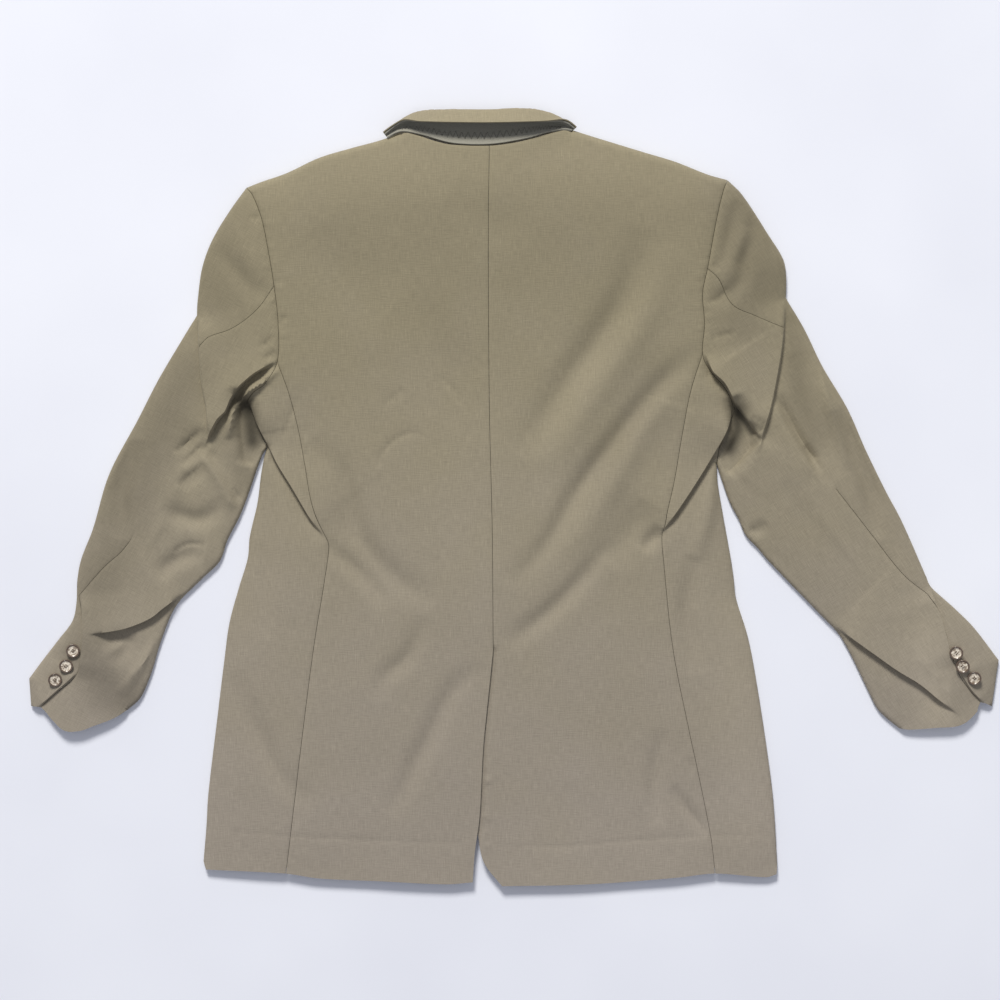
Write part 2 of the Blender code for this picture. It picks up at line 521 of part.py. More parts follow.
def make_side_of_blazer(side_name, cloth):
    """Back, side body, front, lapel and the two sleeve pieces of one side."""
    curve = {name: CURVES[side_name, name] for name in LEFT}
    inwards = 1 if side_name == "left" else -1
    armhole, shoulder, outer, inner = curve["armhole"], curve["shoulder"], curve["outer"], curve["inner"]
    shoulder_point, neck_point = shoulder[-1], shoulder[0]
    sleeve_join = curve["upper_sleeve_seam"][0]
    side_join = curve["side_back"][0]
    armpit = curve["side"][0]
    shoulder_seam = moved_in(shoulder, SHOULDER_WRAP * inwards)
    shoulder_seam[0] = neck_point + (0.0, -SHOULDER_WRAP)
    turn = armhole[np.argmin(np.abs(np.linalg.norm(armhole - shoulder_point, axis=1) - SHOULDER_WRAP - 1))]
    shoulder_seam[-1] = turn
    neck = NECK_CURVE if side_name == "left" else NECK_CURVE[::-1]
    centre_top = CENTRE[0]
    neck_run = stretch(neck, neck_point, centre_top)
    neck_run = neck_run[1:]
    neck_run = np.vstack([shoulder_seam[:1], neck_run])

    vent = curve["vent"] if side_name == "left" else curve["vent"][::-1]
    under_vent = stretch(CURVES["left", "vent"], (-20, -159), (-41, -400))

    def back_height(xy):
        height = cloth_height(xy)
        if side_name == "left":
            return height
        distance, side, _ = nearest_on(under_vent, xy)
        return height - VENT_UNDERLAP_DROP * ramp((5.5 - distance * side) / 4.5) * ramp((-150 - xy[:, 1]) / 12)

    hem = curve["hem"]
    side_bottom = curve["side_back"][-1]
    cut_piece(f"back_{side_name}", cloth, top=[
        seam(stretch(armhole, side_join, turn)),
        seam(shoulder_seam[::-1]),
        seam(neck_run),
        seam(CENTRE),
        seam(vent),
        seam(stretch(hem, vent[-1], side_bottom)),
        seam(curve["side_back"][::-1]),
    ], top_height=back_height, rows=[] if side_name == "left" else
        [moved_in(under_vent, 0.9), moved_in(under_vent, 6.0)])

    cut_piece(f"side_{side_name}", cloth, top=[
        rolled_edge(curve["side"]),
        seam(stretch(hem, curve["side"][-1], side_bottom)),
        seam(curve["side_back"][::-1]),
        seam(stretch(armhole, side_join, armpit)),
    ], under=[
        rolled_edge(curve["side"]),
        seam(curve["side_hem_under"]),
        seam(curve["front_side"][::-1]),
        seam(stretch(curve["front_armhole"], curve["front_side"][0], armpit)),
    ])

    lapel = curve["lapel"]
    left_front = np.vstack([CURVES["left", name][:-1] for name in ("front_hem", "front_edge", "roll_line")])

    def front_height(xy):
        rise = layer_over(lapel, xy)
        if side_name == "right":
            distance, side, _ = nearest_on(left_front, xy)
            rise += LAYER_RISE * np.where(side > 0, 1, ramp((10 - distance) / 8))
        return rise

    front_rows = [moved_in(lapel[:-1], -away * inwards) for away in (0.0, 5.0, 12.5)]
    if side_name == "right":
        front_rows += [moved_in(left_front, -2.0), moved_in(left_front, -10.5)]

    front_armhole = stretch(curve["front_armhole"], shoulder_point, curve["front_side"][0])
    cut_piece(f"front_{side_name}", cloth, top=[
        rolled_edge(shoulder),
        seam(stretch(armhole, shoulder_point, turn)),
        seam(shoulder_seam[::-1]),
        seam(np.array([shoulder_seam[0], neck_point])),
    ], under=[
        rolled_edge(shoulder),
        seam(front_armhole),
        seam(curve["front_side"]),
        seam(curve["front_hem"]),
        seam(curve["front_edge"]),
        seam(curve["roll_line"]),
    ], under_height=front_height, rows=front_rows)

    cut_piece(f"lapel_{side_name}", cloth, under=[seam(lapel)])

    inner_turn = moved_in(inner, UNDERSLEEVE_TURN * inwards)
    inner_turn[0] = curve["cuff_hem"][-2] if side_name == "left" else curve["cuff_hem"][-3]
    front_scye = curve["front_armhole"]
    turn_end = front_scye[-1 - max(1, int(UNDERSLEEVE_TURN / SEAM_STEP))]
    inner_turn = np.vstack([inner_turn[:-1], turn_end])
    tab = curve["tab_edge"]
    cuff = curve["cuff_hem"]
    tab_end = cuff[np.argmin(np.linalg.norm(cuff - tab[-1], axis=1))]
    tab = np.vstack([tab[:-1], tab_end])
    cut_piece(f"top_sleeve_{side_name}", cloth, top=[
        rolled_edge(outer),
        seam(stretch(cuff, outer[-1], tab_end)),
        seam(tab[::-1]),
        seam(curve["lower_sleeve_seam"][::-1]),
        seam(curve["leaf_seam"][::-1]),
        seam(curve["upper_sleeve_seam"][::-1]),
        seam(stretch(armhole, sleeve_join, shoulder_point)),
    ], under=[
        rolled_edge(outer),
        seam(stretch(cuff, outer[-1], inner_turn[0])),
        seam(inner_turn),
        seam(stretch(front_scye, turn_end, shoulder_point)),
    ])
    cut_piece(f"under_sleeve_{side_name}", cloth, top=[
        rolled_edge(inner),
        seam(stretch(armhole, armpit, sleeve_join)),
        seam(curve["upper_sleeve_seam"]),
        seam(curve["leaf_seam"]),
        seam(curve["lower_sleeve_seam"]),
        seam(tab),
        seam(stretch(cuff, tab_end, inner[0])),
    ], under=[
        rolled_edge(inner),
        seam(stretch(front_scye, armpit, turn_end)),
        seam(inner_turn[::-1]),
        seam(stretch(cuff, inner_turn[0], inner[0])),
    ])


def layer_over(outline, xy):
    """How far a layer rises to pass over the piece with this outline."""
    inside = np.array([point_inside(outline, point) for point in xy])
    distance = nearest_on(outline, xy)[0]
    return LAYER_RISE * np.where(inside, 1, ramp((12 - distance) / 7))


def point_inside(outline, point):
    """True where a point is inside a closed outline, by crossings of a line to the right of it."""
    x, y = point
    crossings = 0
    for (x0, y0), (x1, y1) in zip(outline[:-1], outline[1:]):
        if (y0 > y) != (y1 > y) and x < x0 + (y - y0) * (x1 - x0) / (y1 - y0):
            crossings += 1
    return crossings % 2 == 1


def collar_section(base, roll, edge):
    """The inner path of the collar at one station, from the neck seam over the roll to the free edge."""
    out = roll - base
    reach = math.hypot(out[0], out[1])
    along = np.array([out[0] / reach, out[1] / reach, 0])
    up = np.array([0, 0, 1.0])
    bend = min(4.0, 0.3 * reach)
    low = roll - along * bend
    return [
        base,
        base + (low - base) * 0.5 - up * 0.5,
        low,
        roll + up * bend * 0.3,
        roll + up * bend * 1.1 - along * bend * 0.2,
        roll + (edge - roll) * 0.6 + up * bend * 0.4,
        edge,
    ]


def make_collar(name, material, start, thickness):
    """One layer of the collar: start is how far it lies outside the inner path, thickness its own."""
    rows = np.array(COLLAR_ROWS, float)
    places = np.linspace(0, len(rows) - 1, COLLAR_STATIONS)
    rings = []
    for place in places:
        row = np.array([np.interp(place, range(len(rows)), rows[:, column]) for column in range(9)])
        section = np.array(collar_section(row[0:3], row[3:6], row[6:9]))
        out = row[3:5] - row[0:2]
        out = out / np.linalg.norm(out)
        flat = np.stack([(section[:, :2] - row[0:2]) @ out, section[:, 2]], axis=1)
        tangents = np.gradient(flat, axis=0)
        tangents /= np.linalg.norm(tangents, axis=1)[:, None]
        outward = np.stack([tangents[:, 1], -tangents[:, 0]], axis=1)
        ring = []
        for depth in (start, start + thickness):
            moved = flat + outward * depth
            ring.append(np.column_stack([row[0:2] + moved[:, :1] * out, moved[:, 1]]))
        rings.append(np.vstack([ring[0], ring[1][::-1]]))
    count = len(rings[0])
    points = np.vstack(rings)
    faces = []
    for station in range(len(rings) - 1):
        for k in range(count):
            a, b = station * count + k, station * count + (k + 1) % count
            faces.append([a, a + count, b + count, b])
    half = count // 2
    last = (len(rings) - 1) * count
    for k in range(half - 1):
        faces.append([k, k + 1, count - 2 - k, count - 1 - k])
        faces.append([last + count - 1 - k, last + count - 2 - k, last + k + 1, last + k])
    return make_object(name, points, faces, material)


def make_button(name, x, y, material):
    """A turned button: a dished disc with a raised rim, lying on the cuff's tab."""
    place = np.array([[x, y]], float)
    normal = Vector(normals_of(cloth_height, place)[0])
    reach = BUTTON_DIAMETER / 2
    around = [(x + reach * math.cos(turn), y + reach * math.sin(turn)) for turn in np.linspace(0, 2 * math.pi, 12)]
    top = cloth_height(np.array(around + [(x, y)]))
    rise = float(np.max(top - np.concatenate([[cloth_height(place)[0]] * 13])
                        + (np.array(around + [(x, y)]) - (x, y)) @ np.array([normal.x, normal.y]) / normal.z))
    profile = [(0, 0.8), (0.45, 0.55), (0.72, 0.75), (0.86, 1.0), (1.0, 0.7), (0.95, 0.15), (0.6, 0)]
    sides = 14
    points = [(0, 0, BUTTON_HEIGHT * 0.55)]
    for radius, height in profile[1:]:
        for k in range(sides):
            turn = 2 * math.pi * k / sides
            points.append((reach * radius * math.cos(turn), reach * radius * math.sin(turn),
                           BUTTON_HEIGHT * height))
    faces = [[0, 1 + k, 1 + (k + 1) % sides] for k in range(sides)]
    for ring in range(len(profile) - 2):
        first = 1 + ring * sides
        for k in range(sides):
            nxt = (k + 1) % sides
            faces.append([first + k, first + sides + k, first + sides + nxt, first + nxt])
    last = 1 + (len(profile) - 2) * sides
    faces.append([last + k for k in reversed(range(sides))])
    turn = normal.to_track_quat("Z", "Y").to_matrix()
    base = Vector((x, y, float(cloth_height(place)[0]))) + normal * (max(rise, 0) + 0.4)
    moved = np.array([turn @ Vector(point) + base for point in points])
    return make_object(name, moved, faces, material)


def main():
    for old in list(bpy.data.objects):
        bpy.data.objects.remove(old)
    cloth = cloth_material("wool_cloth", CLOTH_COLOUR, 0.85)
    felt = cloth_material("undercollar_felt", FELT_COLOUR, 0.95)
    horn = cloth_material("horn_button", HORN_COLOUR, 0.35)
    for side_name in ("left", "right"):
        make_side_of_blazer(side_name, cloth)
    make_collar("under_collar", felt, 0.0, FELT_WALL)
    make_collar("top_collar", cloth, FELT_WALL + COLLAR_GAP, COLLAR_CLOTH_WALL)
    for name, x, y in BUTTONS:
        make_button(name, x, y, horn)


main()
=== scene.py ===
import math

import bmesh
import bpy
import numpy as np
from mathutils import Matrix, Vector, kdtree, noise
from mathutils.geometry import delaunay_2d_cdt


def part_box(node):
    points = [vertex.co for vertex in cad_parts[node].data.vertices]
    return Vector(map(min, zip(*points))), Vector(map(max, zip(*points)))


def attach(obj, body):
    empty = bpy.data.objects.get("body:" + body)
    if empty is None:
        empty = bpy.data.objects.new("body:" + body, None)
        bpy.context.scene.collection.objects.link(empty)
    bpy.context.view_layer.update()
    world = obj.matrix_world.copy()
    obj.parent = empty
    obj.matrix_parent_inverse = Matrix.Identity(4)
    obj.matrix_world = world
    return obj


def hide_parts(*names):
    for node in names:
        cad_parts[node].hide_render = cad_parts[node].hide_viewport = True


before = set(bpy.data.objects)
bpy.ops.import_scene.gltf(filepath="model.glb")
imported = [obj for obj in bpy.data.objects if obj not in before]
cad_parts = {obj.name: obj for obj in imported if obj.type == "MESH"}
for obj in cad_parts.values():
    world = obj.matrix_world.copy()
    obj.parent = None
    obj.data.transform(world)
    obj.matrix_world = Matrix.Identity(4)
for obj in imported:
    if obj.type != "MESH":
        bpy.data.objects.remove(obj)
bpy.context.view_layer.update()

# ------------------------------------------------------------------ table top, daylight and camera
# The blazer lies on a plain pale board. Daylight comes in soft from beyond the collar, so the shadows
# fall towards the hem. The camera hangs 2.5 m straight above and takes in 1.04 m of the board.

CAMERA_HEIGHT = 2.5
VIEW_WIDTH = 1.04
VIEW_CENTRE = (-0.0145, -0.0017)
BOARD_SIZE = 9.0
BOARD_DROP = 0.0003
SKY_STRENGTH = 0.34
LIGHTS = [
    # name, place, diameter, power, colour
    ("window", (-1.4, 6.8, 5.6), 2.6, 840.0, "#fffdf9"),
    ("ceiling", (0.3, -1.2, 5.0), 3.6, 30.0, "#eef2ff"),
]


def linear(hex_colour):
    """A linear RGBA colour from an sRGB hex value."""
    channels = [int(hex_colour[k:k + 2], 16) / 255 for k in (1, 3, 5)]
    return (*[c / 12.92 if c <= 0.04045 else ((c + 0.055) / 1.055) ** 2.4 for c in channels], 1.0)


def add_node(material, kind, settings=(), links=()):
    """Adds a shader node. Settings are properties or socket values. Links are (socket, source socket)."""
    node = material.node_tree.nodes.new("ShaderNode" + kind)
    for name, value in dict(settings).items():
        if isinstance(name, str) and hasattr(node, name):
            setattr(node, name, value)
        else:
            node.inputs[name].default_value = value
    for name, source in dict(links).items():
        material.node_tree.links.new(source, node.inputs[name])
    return node


def new_material(name):
    material = bpy.data.materials.new(name)
    material.use_nodes = True
    material.node_tree.nodes.clear()
    return material


def two_toned(name, dark, light, pattern, surface, contrast=(0.0, 1.0), relief=None):
    """A material that wanders between two colours, and up and down if relief is given. Pattern and surface
    are the settings of its noise and of its shader, and contrast the noise at which each colour is full."""
    material = new_material(name)
    place = add_node(material, "TexCoord").outputs["Object"]
    wander = add_node(material, "TexNoise", pattern, {"Vector": place}).outputs["Fac"]
    share = add_node(material, "MapRange", {"From Min": contrast[0], "From Max": contrast[1]},
                     {"Value": wander}).outputs[0]
    tones = {"data_type": "RGBA", 6: linear(dark), 7: linear(light)}
    links = {"Base Color": add_node(material, "Mix", tones, {0: share}).outputs[2]}
    if relief:
        links["Normal"] = add_node(material, "Bump", relief, {"Height": wander}).outputs[0]
    shader = add_node(material, "BsdfPrincipled", surface, links)
    add_node(material, "OutputMaterial", {}, {"Surface": shader.outputs[0]})
    return material


def put(name, data):
    """A new object at the origin of the scene."""
    item = bpy.data.objects.new(name, data)
    bpy.context.scene.collection.objects.link(item)
    return item


bpy.ops.object.select_all(action="DESELECT")
bpy.ops.mesh.primitive_plane_add(size=BOARD_SIZE, location=(0, 0, -BOARD_DROP))
floor = bpy.context.object
floor.name = "table_top"
bpy.ops.object.transform_apply(location=True, rotation=False, scale=False)
# Board painted with matt emulsion, which is nearly even, with faint clouds.
floor.data.materials.append(
    two_toned("painted_board", "#dcdee7", "#f0f2f8", {"Scale": 3.0, "Detail": 3.0}, {"Roughness": 0.6}))

bpy.context.scene.view_settings.view_transform = "Standard"
sky = bpy.data.worlds.new("daylight")
sky.use_nodes = True
sky.node_tree.nodes["Background"].inputs["Color"].default_value = linear("#f1f4ff")
sky.node_tree.nodes["Background"].inputs["Strength"].default_value = SKY_STRENGTH
bpy.context.scene.world = sky

for name, spot, diameter, power, tint in LIGHTS:
    lamp = put(name, bpy.data.lights.new(name, "AREA"))
    lamp.data.shape = "DISK"
    lamp.data.size = diameter
    lamp.data.energy = power
    lamp.data.color = linear(tint)[:3]
    lamp.location = spot
    lamp.rotation_euler = (-Vector(spot)).to_track_quat("-Z", "Y").to_euler()

camera = put("camera", bpy.data.cameras.new("camera"))
camera.location = (*VIEW_CENTRE, CAMERA_HEIGHT)
camera.data.lens = camera.data.sensor_width * CAMERA_HEIGHT / VIEW_WIDTH
bpy.context.scene.camera = camera

# ------------------------------------------------------------------ backs
# Two backs in plain-woven wool, joined by the centre back seam. Below it they part in a centre vent,
# the left one lapped over the right. Each is cut to the plan curves below and lies in the blazer's folds.

# Plan sizes and heights are in millimetres. PLAN_CENTRE is the plan point that lies on the frame's origin.
MM = 0.001
PLAN_CENTRE = (1.5, -1.9)
WALL = 1.1
SEAM_GAP = 0.42

# Outline and seams in plan. A point given twice is a corner.
LEFT = {
    "shoulder": [(-115, 378), (-135, 370), (-168, 361), (-201, 351), (-235, 335), (-261, 326), (-276, 320)],
    "outer": [
        (-276, 320), (-292, 298), (-311, 267), (-322, 238), (-327, 204), (-328, 188), (-328, 188),
        (-345, 160), (-368, 121), (-389, 80), (-419, 23), (-436, -34), (-448, -65), (-452, -86),
        (-453, -110), (-457, -129), (-471, -148), (-488, -170), (-502, -189), (-502, -189), (-500, -218),
    ],
    "cuff_hem": [
        (-500, -218), (-489, -219), (-477, -232), (-464, -243), (-448, -243), (-434, -238), (-413, -230),
        (-399, -221),
    ],
    "inner": [
        (-399, -221), (-387, -210), (-380, -196), (-373, -177), (-368, -159), (-355, -124), (-345, -108),
        (-321, -84), (-304, -67), (-296, -45), (-285, -24), (-279, -10), (-271, 12), (-266, 27), (-260, 43),
        (-256, 51),
    ],
    "side": [
        (-256, 51), (-261, 24), (-265, -7), (-273, -42), (-275, -64), (-284, -94), (-294, -131),
        (-299, -167), (-307, -233), (-316, -309), (-318, -343), (-321, -379),
    ],
    "hem": [
        (-321, -379), (-318, -387), (-318, -387), (-235, -391), (-201, -396), (-135, -399), (-69, -402),
        (-41, -400),
    ],
    "armhole": [
        (-276, 320), (-269, 312), (-259, 287), (-252, 254), (-246, 217), (-242, 180), (-243, 139),
        (-256, 116), (-267, 108), (-276, 98), (-276, 98), (-269, 80), (-263, 64), (-256, 51),
    ],
    "side_back": [
        (-243, 139), (-232, 109), (-222, 71), (-215, 34), (-207, -9), (-193, -42), (-190, -51), (-194, -84),
        (-206, -158), (-220, -267), (-232, -367), (-235, -391),
    ],
    "vent": [(-20, -159), (-24, -199), (-30, -258), (-34, -332), (-39, -370), (-41, -400)],
    "upper_sleeve_seam": [(-246, 217), (-262, 195), (-278, 181), (-293, 172), (-315, 164), (-324, 153)],
    "leaf_seam": [(-324, 153), (-321, 98), (-346, 42), (-377, -12), (-394, -43)],
    "lower_sleeve_seam": [(-394, -43), (-405, -57), (-423, -73), (-450, -103)],
    "tab_edge": [(-450, -103), (-447, -138), (-449, -168), (-453, -187), (-471, -203), (-489, -219)],
    "front_armhole": [(-276, 320), (-262, 280), (-238, 220), (-222, 150), (-226, 95), (-256, 51)],
    "front_side": [
        (-226, 95), (-212, 40), (-206, -10), (-214, -60), (-234, -160), (-252, -270), (-262, -383),
    ],
    "side_hem_under": [(-321, -379), (-262, -383)],
    "front_hem": [(-262, -383), (-180, -390), (-110, -380), (-45, -335), (-8, -270), (-2, -190)],
    "front_edge": [(-2, -190), (-2, -20)],
    "roll_line": [(-2, -20), (-70, 200), (-104, 350), (-115, 378)],
    "lapel": [
        (-35, 62), (-72, 96), (-128, 190), (-150, 262), (-150, 262), (-104, 282), (-104, 282), (-116, 330),
        (-122, 350), (-122, 350), (-106, 342), (-74, 200), (-35, 62),
    ],
}
RIGHT = {
    "shoulder": [(60, 380.5), (87, 372), (136, 357), (169, 347), (202, 334), (223, 328)],
    "outer": [
        (223, 328), (238, 313), (265, 272), (281, 246), (284, 230), (284, 206), (284, 206), (303, 174),
        (322, 135), (348, 91), (367, 48), (388, 5), (404, -25), (430, -84), (434, -93), (460, -117),
        (479, -136), (505, -170), (505, -170), (498, -218),
    ],
    "cuff_hem": [(498, -218), (485, -214), (482, -223), (465, -237), (439, -240), (412, -242), (402, -241)],
    "inner": [
        (402, -241), (386, -228), (378, -219), (369, -201), (348, -158), (337, -141), (320, -123),
        (265, -66), (255, -54), (242, -40), (235, -24), (226, -7), (217, 18), (212, 34),
    ],
    "side": [
        (212, 34), (213, 15), (219, -21), (227, -66), (230, -87), (232, -105), (244, -144), (252, -184),
        (264, -261), (271, -317), (275, -382),
    ],
    "hem": [
        (275, -382), (274, -392), (274, -392), (263, -395), (210, -391), (173, -395), (99, -401),
        (54, -403), (-11, -404),
    ],
    "armhole": [
        (223, 328), (218, 317), (210, 284), (201, 235), (196, 210), (198, 178), (196, 147), (203, 129),
        (217, 113), (230, 90), (230, 90), (229, 82), (219, 58), (212, 34),
    ],
    "side_back": [
        (196, 147), (184, 109), (176, 68), (167, 15), (155, -39), (156, -65), (166, -158), (183, -244),
        (193, -290), (206, -356), (210, -391),
    ],
    "vent": [(-11, -404), (-30, -379), (-36, -351), (-46, -290), (-48, -215), (-21, -164), (-20, -159)],
    "upper_sleeve_seam": [(201, 235), (212, 225), (227, 198), (250, 187), (283, 173)],
    "leaf_seam": [(283, 173), (280, 143), (274, 105), (298, 62), (320, 29), (334, 9)],
    "lower_sleeve_seam": [(334, 9), (367, -33), (405, -81), (430, -101)],
    "tab_edge": [(430, -101), (441, -120), (449, -138), (453, -155), (462, -185), (473, -201), (485, -214)],
    "front_armhole": [(223, 328), (212, 280), (192, 220), (178, 150), (182, 90), (212, 34)],
    "front_side": [(182, 90), (168, 30), (160, -10), (168, -60), (184, -160), (203, -270), (216, -385)],
    "side_hem_under": [(275, -382), (216, -385)],
    "front_hem": [(216, -385), (136, -390), (66, -380), (1, -335), (-36, -270), (-42, -190)],
    "front_edge": [(-42, -190), (-42, -20)],
    "roll_line": [(-42, -20), (22, 200), (50, 350), (60, 380.5)],
    "lapel": [
        (10, 0), (36, 60), (78, 190), (100, 262), (100, 262), (54, 284), (54, 284), (62, 330), (68, 352),
        (68, 352), (52, 342), (26, 200), (10, 0),
    ],
}
CENTRE_BACK = [(-24, 362), (-25, 271), (-24, 95), (-21, -35), (-20, -159)]
NECK = [
    (-115, 378), (-93, 371.5), (-80, 367), (-62, 363), (-24, 362), (1, 365), (24, 370.5), (40, 375.5),
    (60, 380.5),
]

HEIGHTS = [
    # y, height of the body, height of a sleeve
    (-400, 9.0, 11.0),
    (-330, 11.0, 11.0),
    (-220, 14.0, 11.0),
    (-100, 16.0, 13.0),
    (0, 17.0, 15.0),
    (100, 19.0, 18.0),
    (180, 22.0, 22.0),
    (260, 26.0, 26.0),
    (320, 28.0, 28.0),
    (350, 24.0, 24.0),
    (380, 20.0, 20.0),
]

# Soft folds: a trough where the height is negative, a ridge where it is positive.
FOLDS = {
    # name: height, half width, path
    "right drape 1": (-4.5, 16, [(133, 277), (113, 218), (87, 175), (54, 128), (20, 74), (-1, 48)]),
    "right drape 1 crest": (2.5, 16, [(160, 262), (140, 205), (112, 158), (80, 112), (50, 62), (25, 30)]),
    "right drape 2": (-4.0, 11, [(193, 162), (151, 123), (97, 56), (65, 11), (34, -43), (-9, -90)]),
    "right drape 2 crest": (2.5, 13, [(180, 128), (140, 90), (112, 38), (84, -10), (52, -60)]),
    "right waist 1": (-3.0, 8, [(151, -29), (131, -54)]),
    "right waist 2": (-3.0, 10, [(100, -42), (48, -102), (-11, -150)]),
    "right waist 3": (-2.5, 16, [(135, -2), (90, -66)]),
    "right hem 1": (-2.0, 9, [(152, -240), (146, -283), (149, -340)]),
    "right hem 2": (-1.2, 7, [(166, -300), (202, -350)]),
    "right edge ridge": (2.5, 9, [(212, 41), (199, -19), (185, -66)]),
    "right side trough": (-2.5, 10, [(186, -60), (179, -111), (186, -150), (194, -184)]),
    "left drape 1": (-3.5, 13, [(-204, 62), (-180, 29), (-160, -33), (-126, -73), (-77, -105)]),
    "left drape 2": (-2.8, 9, [(-191, -45), (-155, -77), (-126, -113)]),
    "left waist 1": (-2.0, 10, [(-94, -123), (-109, -158), (-132, -180), (-142, -211)]),
    "left vent": (-2.5, 11, [(-32, -168), (-62, -191), (-91, -248), (-118, -303), (-135, -326)]),
    "left side trough": (-2.2, 12, [(-288, -180), (-262, -244), (-241, -283), (-201, -317)]),
    "left side line": (-1.5, 8, [(-251, 28), (-257, -100), (-258, -149)]),
    "left blade": (-1.5, 30, [(-200, 280), (-160, 230), (-120, 200)]),
    "centre blade": (-1.5, 26, [(-60, 320), (-24, 300), (20, 310)]),
    "left outer trough": (-4.0, 11, [(-392, 60), (-407, 11), (-408, -13), (-413, -42)]),
    "left fan 1": (-1.8, 6, [(-322, 71), (-350, 45)]),
    "left fan 2": (-1.6, 6, [(-322, 56), (-343, 32)]),
    "left fan 3": (-1.8, 7, [(-319, 35), (-347, 11)]),
    "left elbow 1": (-3.0, 9, [(-362, -6), (-347, -13), (-324, -17), (-299, 1)]),
    "left elbow 2": (-3.0, 9, [(-372, -80), (-353, -62), (-336, -55), (-318, -58)]),
    "left elbow ridge": (2.5, 9, [(-314, 53), (-302, 30), (-288, 7), (-279, -9)]),
    "left head trough": (-1.8, 10, [(-306, 262), (-286, 238), (-262, 214), (-248, 204)]),
    "left head ridge": (1.4, 12, [(-290, 290), (-268, 240), (-252, 226)]),
    "left cuff ridge": (2.2, 6, [(-367, -142), (-396, -187), (-409, -205)]),
    "left cuff dent": (-3.0, 9, [(-434, -147), (-402, -146), (-420, -172)]),
    "left armpit hollow": (-15.0, 9, [(-284, 114), (-278, 92), (-275, 72), (-273, 54), (-277, 32)]),
    "left armpit band": (6.5, 3.5, [
        (-243, 134), (-256, 122), (-269, 113), (-279, 104), (-287, 93), (-291, 80), (-296, 60),
    ]),
    "right head trough 1": (-2.5, 8, [(229, 307), (225, 287), (217, 252), (204, 243)]),
    "right head trough 2": (-3.0, 9, [(249, 292), (240, 261), (231, 225), (200, 203)]),
    "right head ridge": (2.0, 8, [(240, 280), (226, 244)]),
    "right outer ridge": (2.0, 6, [(292, 179), (309, 157), (319, 135), (324, 107), (341, 53), (350, 25)]),
    "right outer trough 1": (-4.5, 11, [(336, 92), (365, 29), (371, 3), (379, -44)]),
    "right outer trough 2": (-3.0, 13, [(294, 150), (306, 110), (326, 60), (340, 20)]),
    "right crease": (-2.4, 6, [(274, 102), (298, 62), (320, 29), (333, 12)]),
    "right armpit hollow": (-15.0, 9, [(228, 104), (235, 80), (237, 62), (229, 46), (218, 26)]),
    "right curl": (-4.0, 5, [(244, 78), (250, 72), (252, 64)]),
    "right elbow corner": (-1.8, 7, [(244, -36), (262, -24)]),
}

# Laid-over edges. The cloth on the left of the path stands higher by rise, falls off over reach, and its
# edge hangs over the low side by overhang.
LAPS = {
    # name: rise, drop on the low side, width of the step, reach, overhang, path
    "left leaf edge": (5.0, 2.0, 4, 40, 1.2, [
        (-328, 196), (-327, 162), (-323, 116), (-318, 88), (-317, 58), (-314, 46),
    ]),
    "left leaf mouth": (5.0, 6.5, 5, 30, 2.5, [
        (-316, 46), (-314, 54), (-307, 68), (-302, 78), (-294, 86), (-289, 98), (-283, 108), (-274, 117),
        (-264, 125), (-253, 131), (-240, 139),
    ]),
    "left facet edge": (2.5, 5.0, 11, 30, 0.0, [
        (-277, -14), (-287, 6), (-299, 27), (-307, 40), (-316, 56),
    ]),
    "left panel edge": (4.0, 3.0, 5, 40, 2.5, [
        (-284, 108), (-276, 96), (-270, 81), (-264, 67), (-256, 52), (-246, 32), (-231, 8), (-221, -9),
        (-208, -30), (-190, -50),
    ]),
    "left forearm lap": (5.0, 2.0, 4, 40, 2.5, [
        (-442, -146), (-417, -142), (-398, -138), (-374, -128), (-360, -117), (-345, -106), (-335, -98),
    ]),
    "left cuff lap": (3.5, 0.5, 3, 25, 1.5, [(-450, -98), (-447, -138), (-449, -168), (-453, -190)]),
    "left tab lap": (2.5, 1.0, 3, 20, 1.0, [(-494, -223), (-471, -203), (-453, -187), (-449, -180)]),
    "right leaf edge": (4.5, 2.5, 5, 45, 1.2, [
        (258, 40), (262, 63), (270, 92), (276, 120), (282, 156), (284, 183), (285, 208),
    ]),
    "right leaf mouth": (5.0, 6.0, 4, 30, 2.5, [
        (196, 148), (201, 134), (205, 127), (216, 117), (221, 109), (228, 96), (236, 85), (243, 75),
        (252, 62), (257, 54),
    ]),
    "right panel edge": (4.0, 3.0, 5, 40, 2.5, [
        (150, -48), (174, -15), (196, 18), (213, 46), (223, 64), (229, 80), (232, 98),
    ]),
    "right hollow rim": (2.5, 3.0, 5, 20, 0.8, [(256, 64), (250, 54), (238, 43), (222, 26)]),
    "right facet edge": (2.0, 3.5, 9, 25, 0.0, [
        (322, 22), (306, 48), (297, 64), (287, 81), (278, 98), (272, 110),
    ]),
    "right forearm lap": (5.0, 2.0, 4, 40, 2.5, [
        (326, -128), (334, -137), (352, -150), (373, -165), (397, -182), (420, -196), (442, -214),
        (466, -232),
    ]),
    "right cuff lap": (3.5, 0.5, 3, 25, 1.5, [
        (459, -180), (453, -155), (449, -138), (441, -112), (434, -90),
    ]),
    "right tab lap": (2.5, 1.0, 3, 20, 1.0, [(458, -176), (473, -201), (490, -218)]),
}

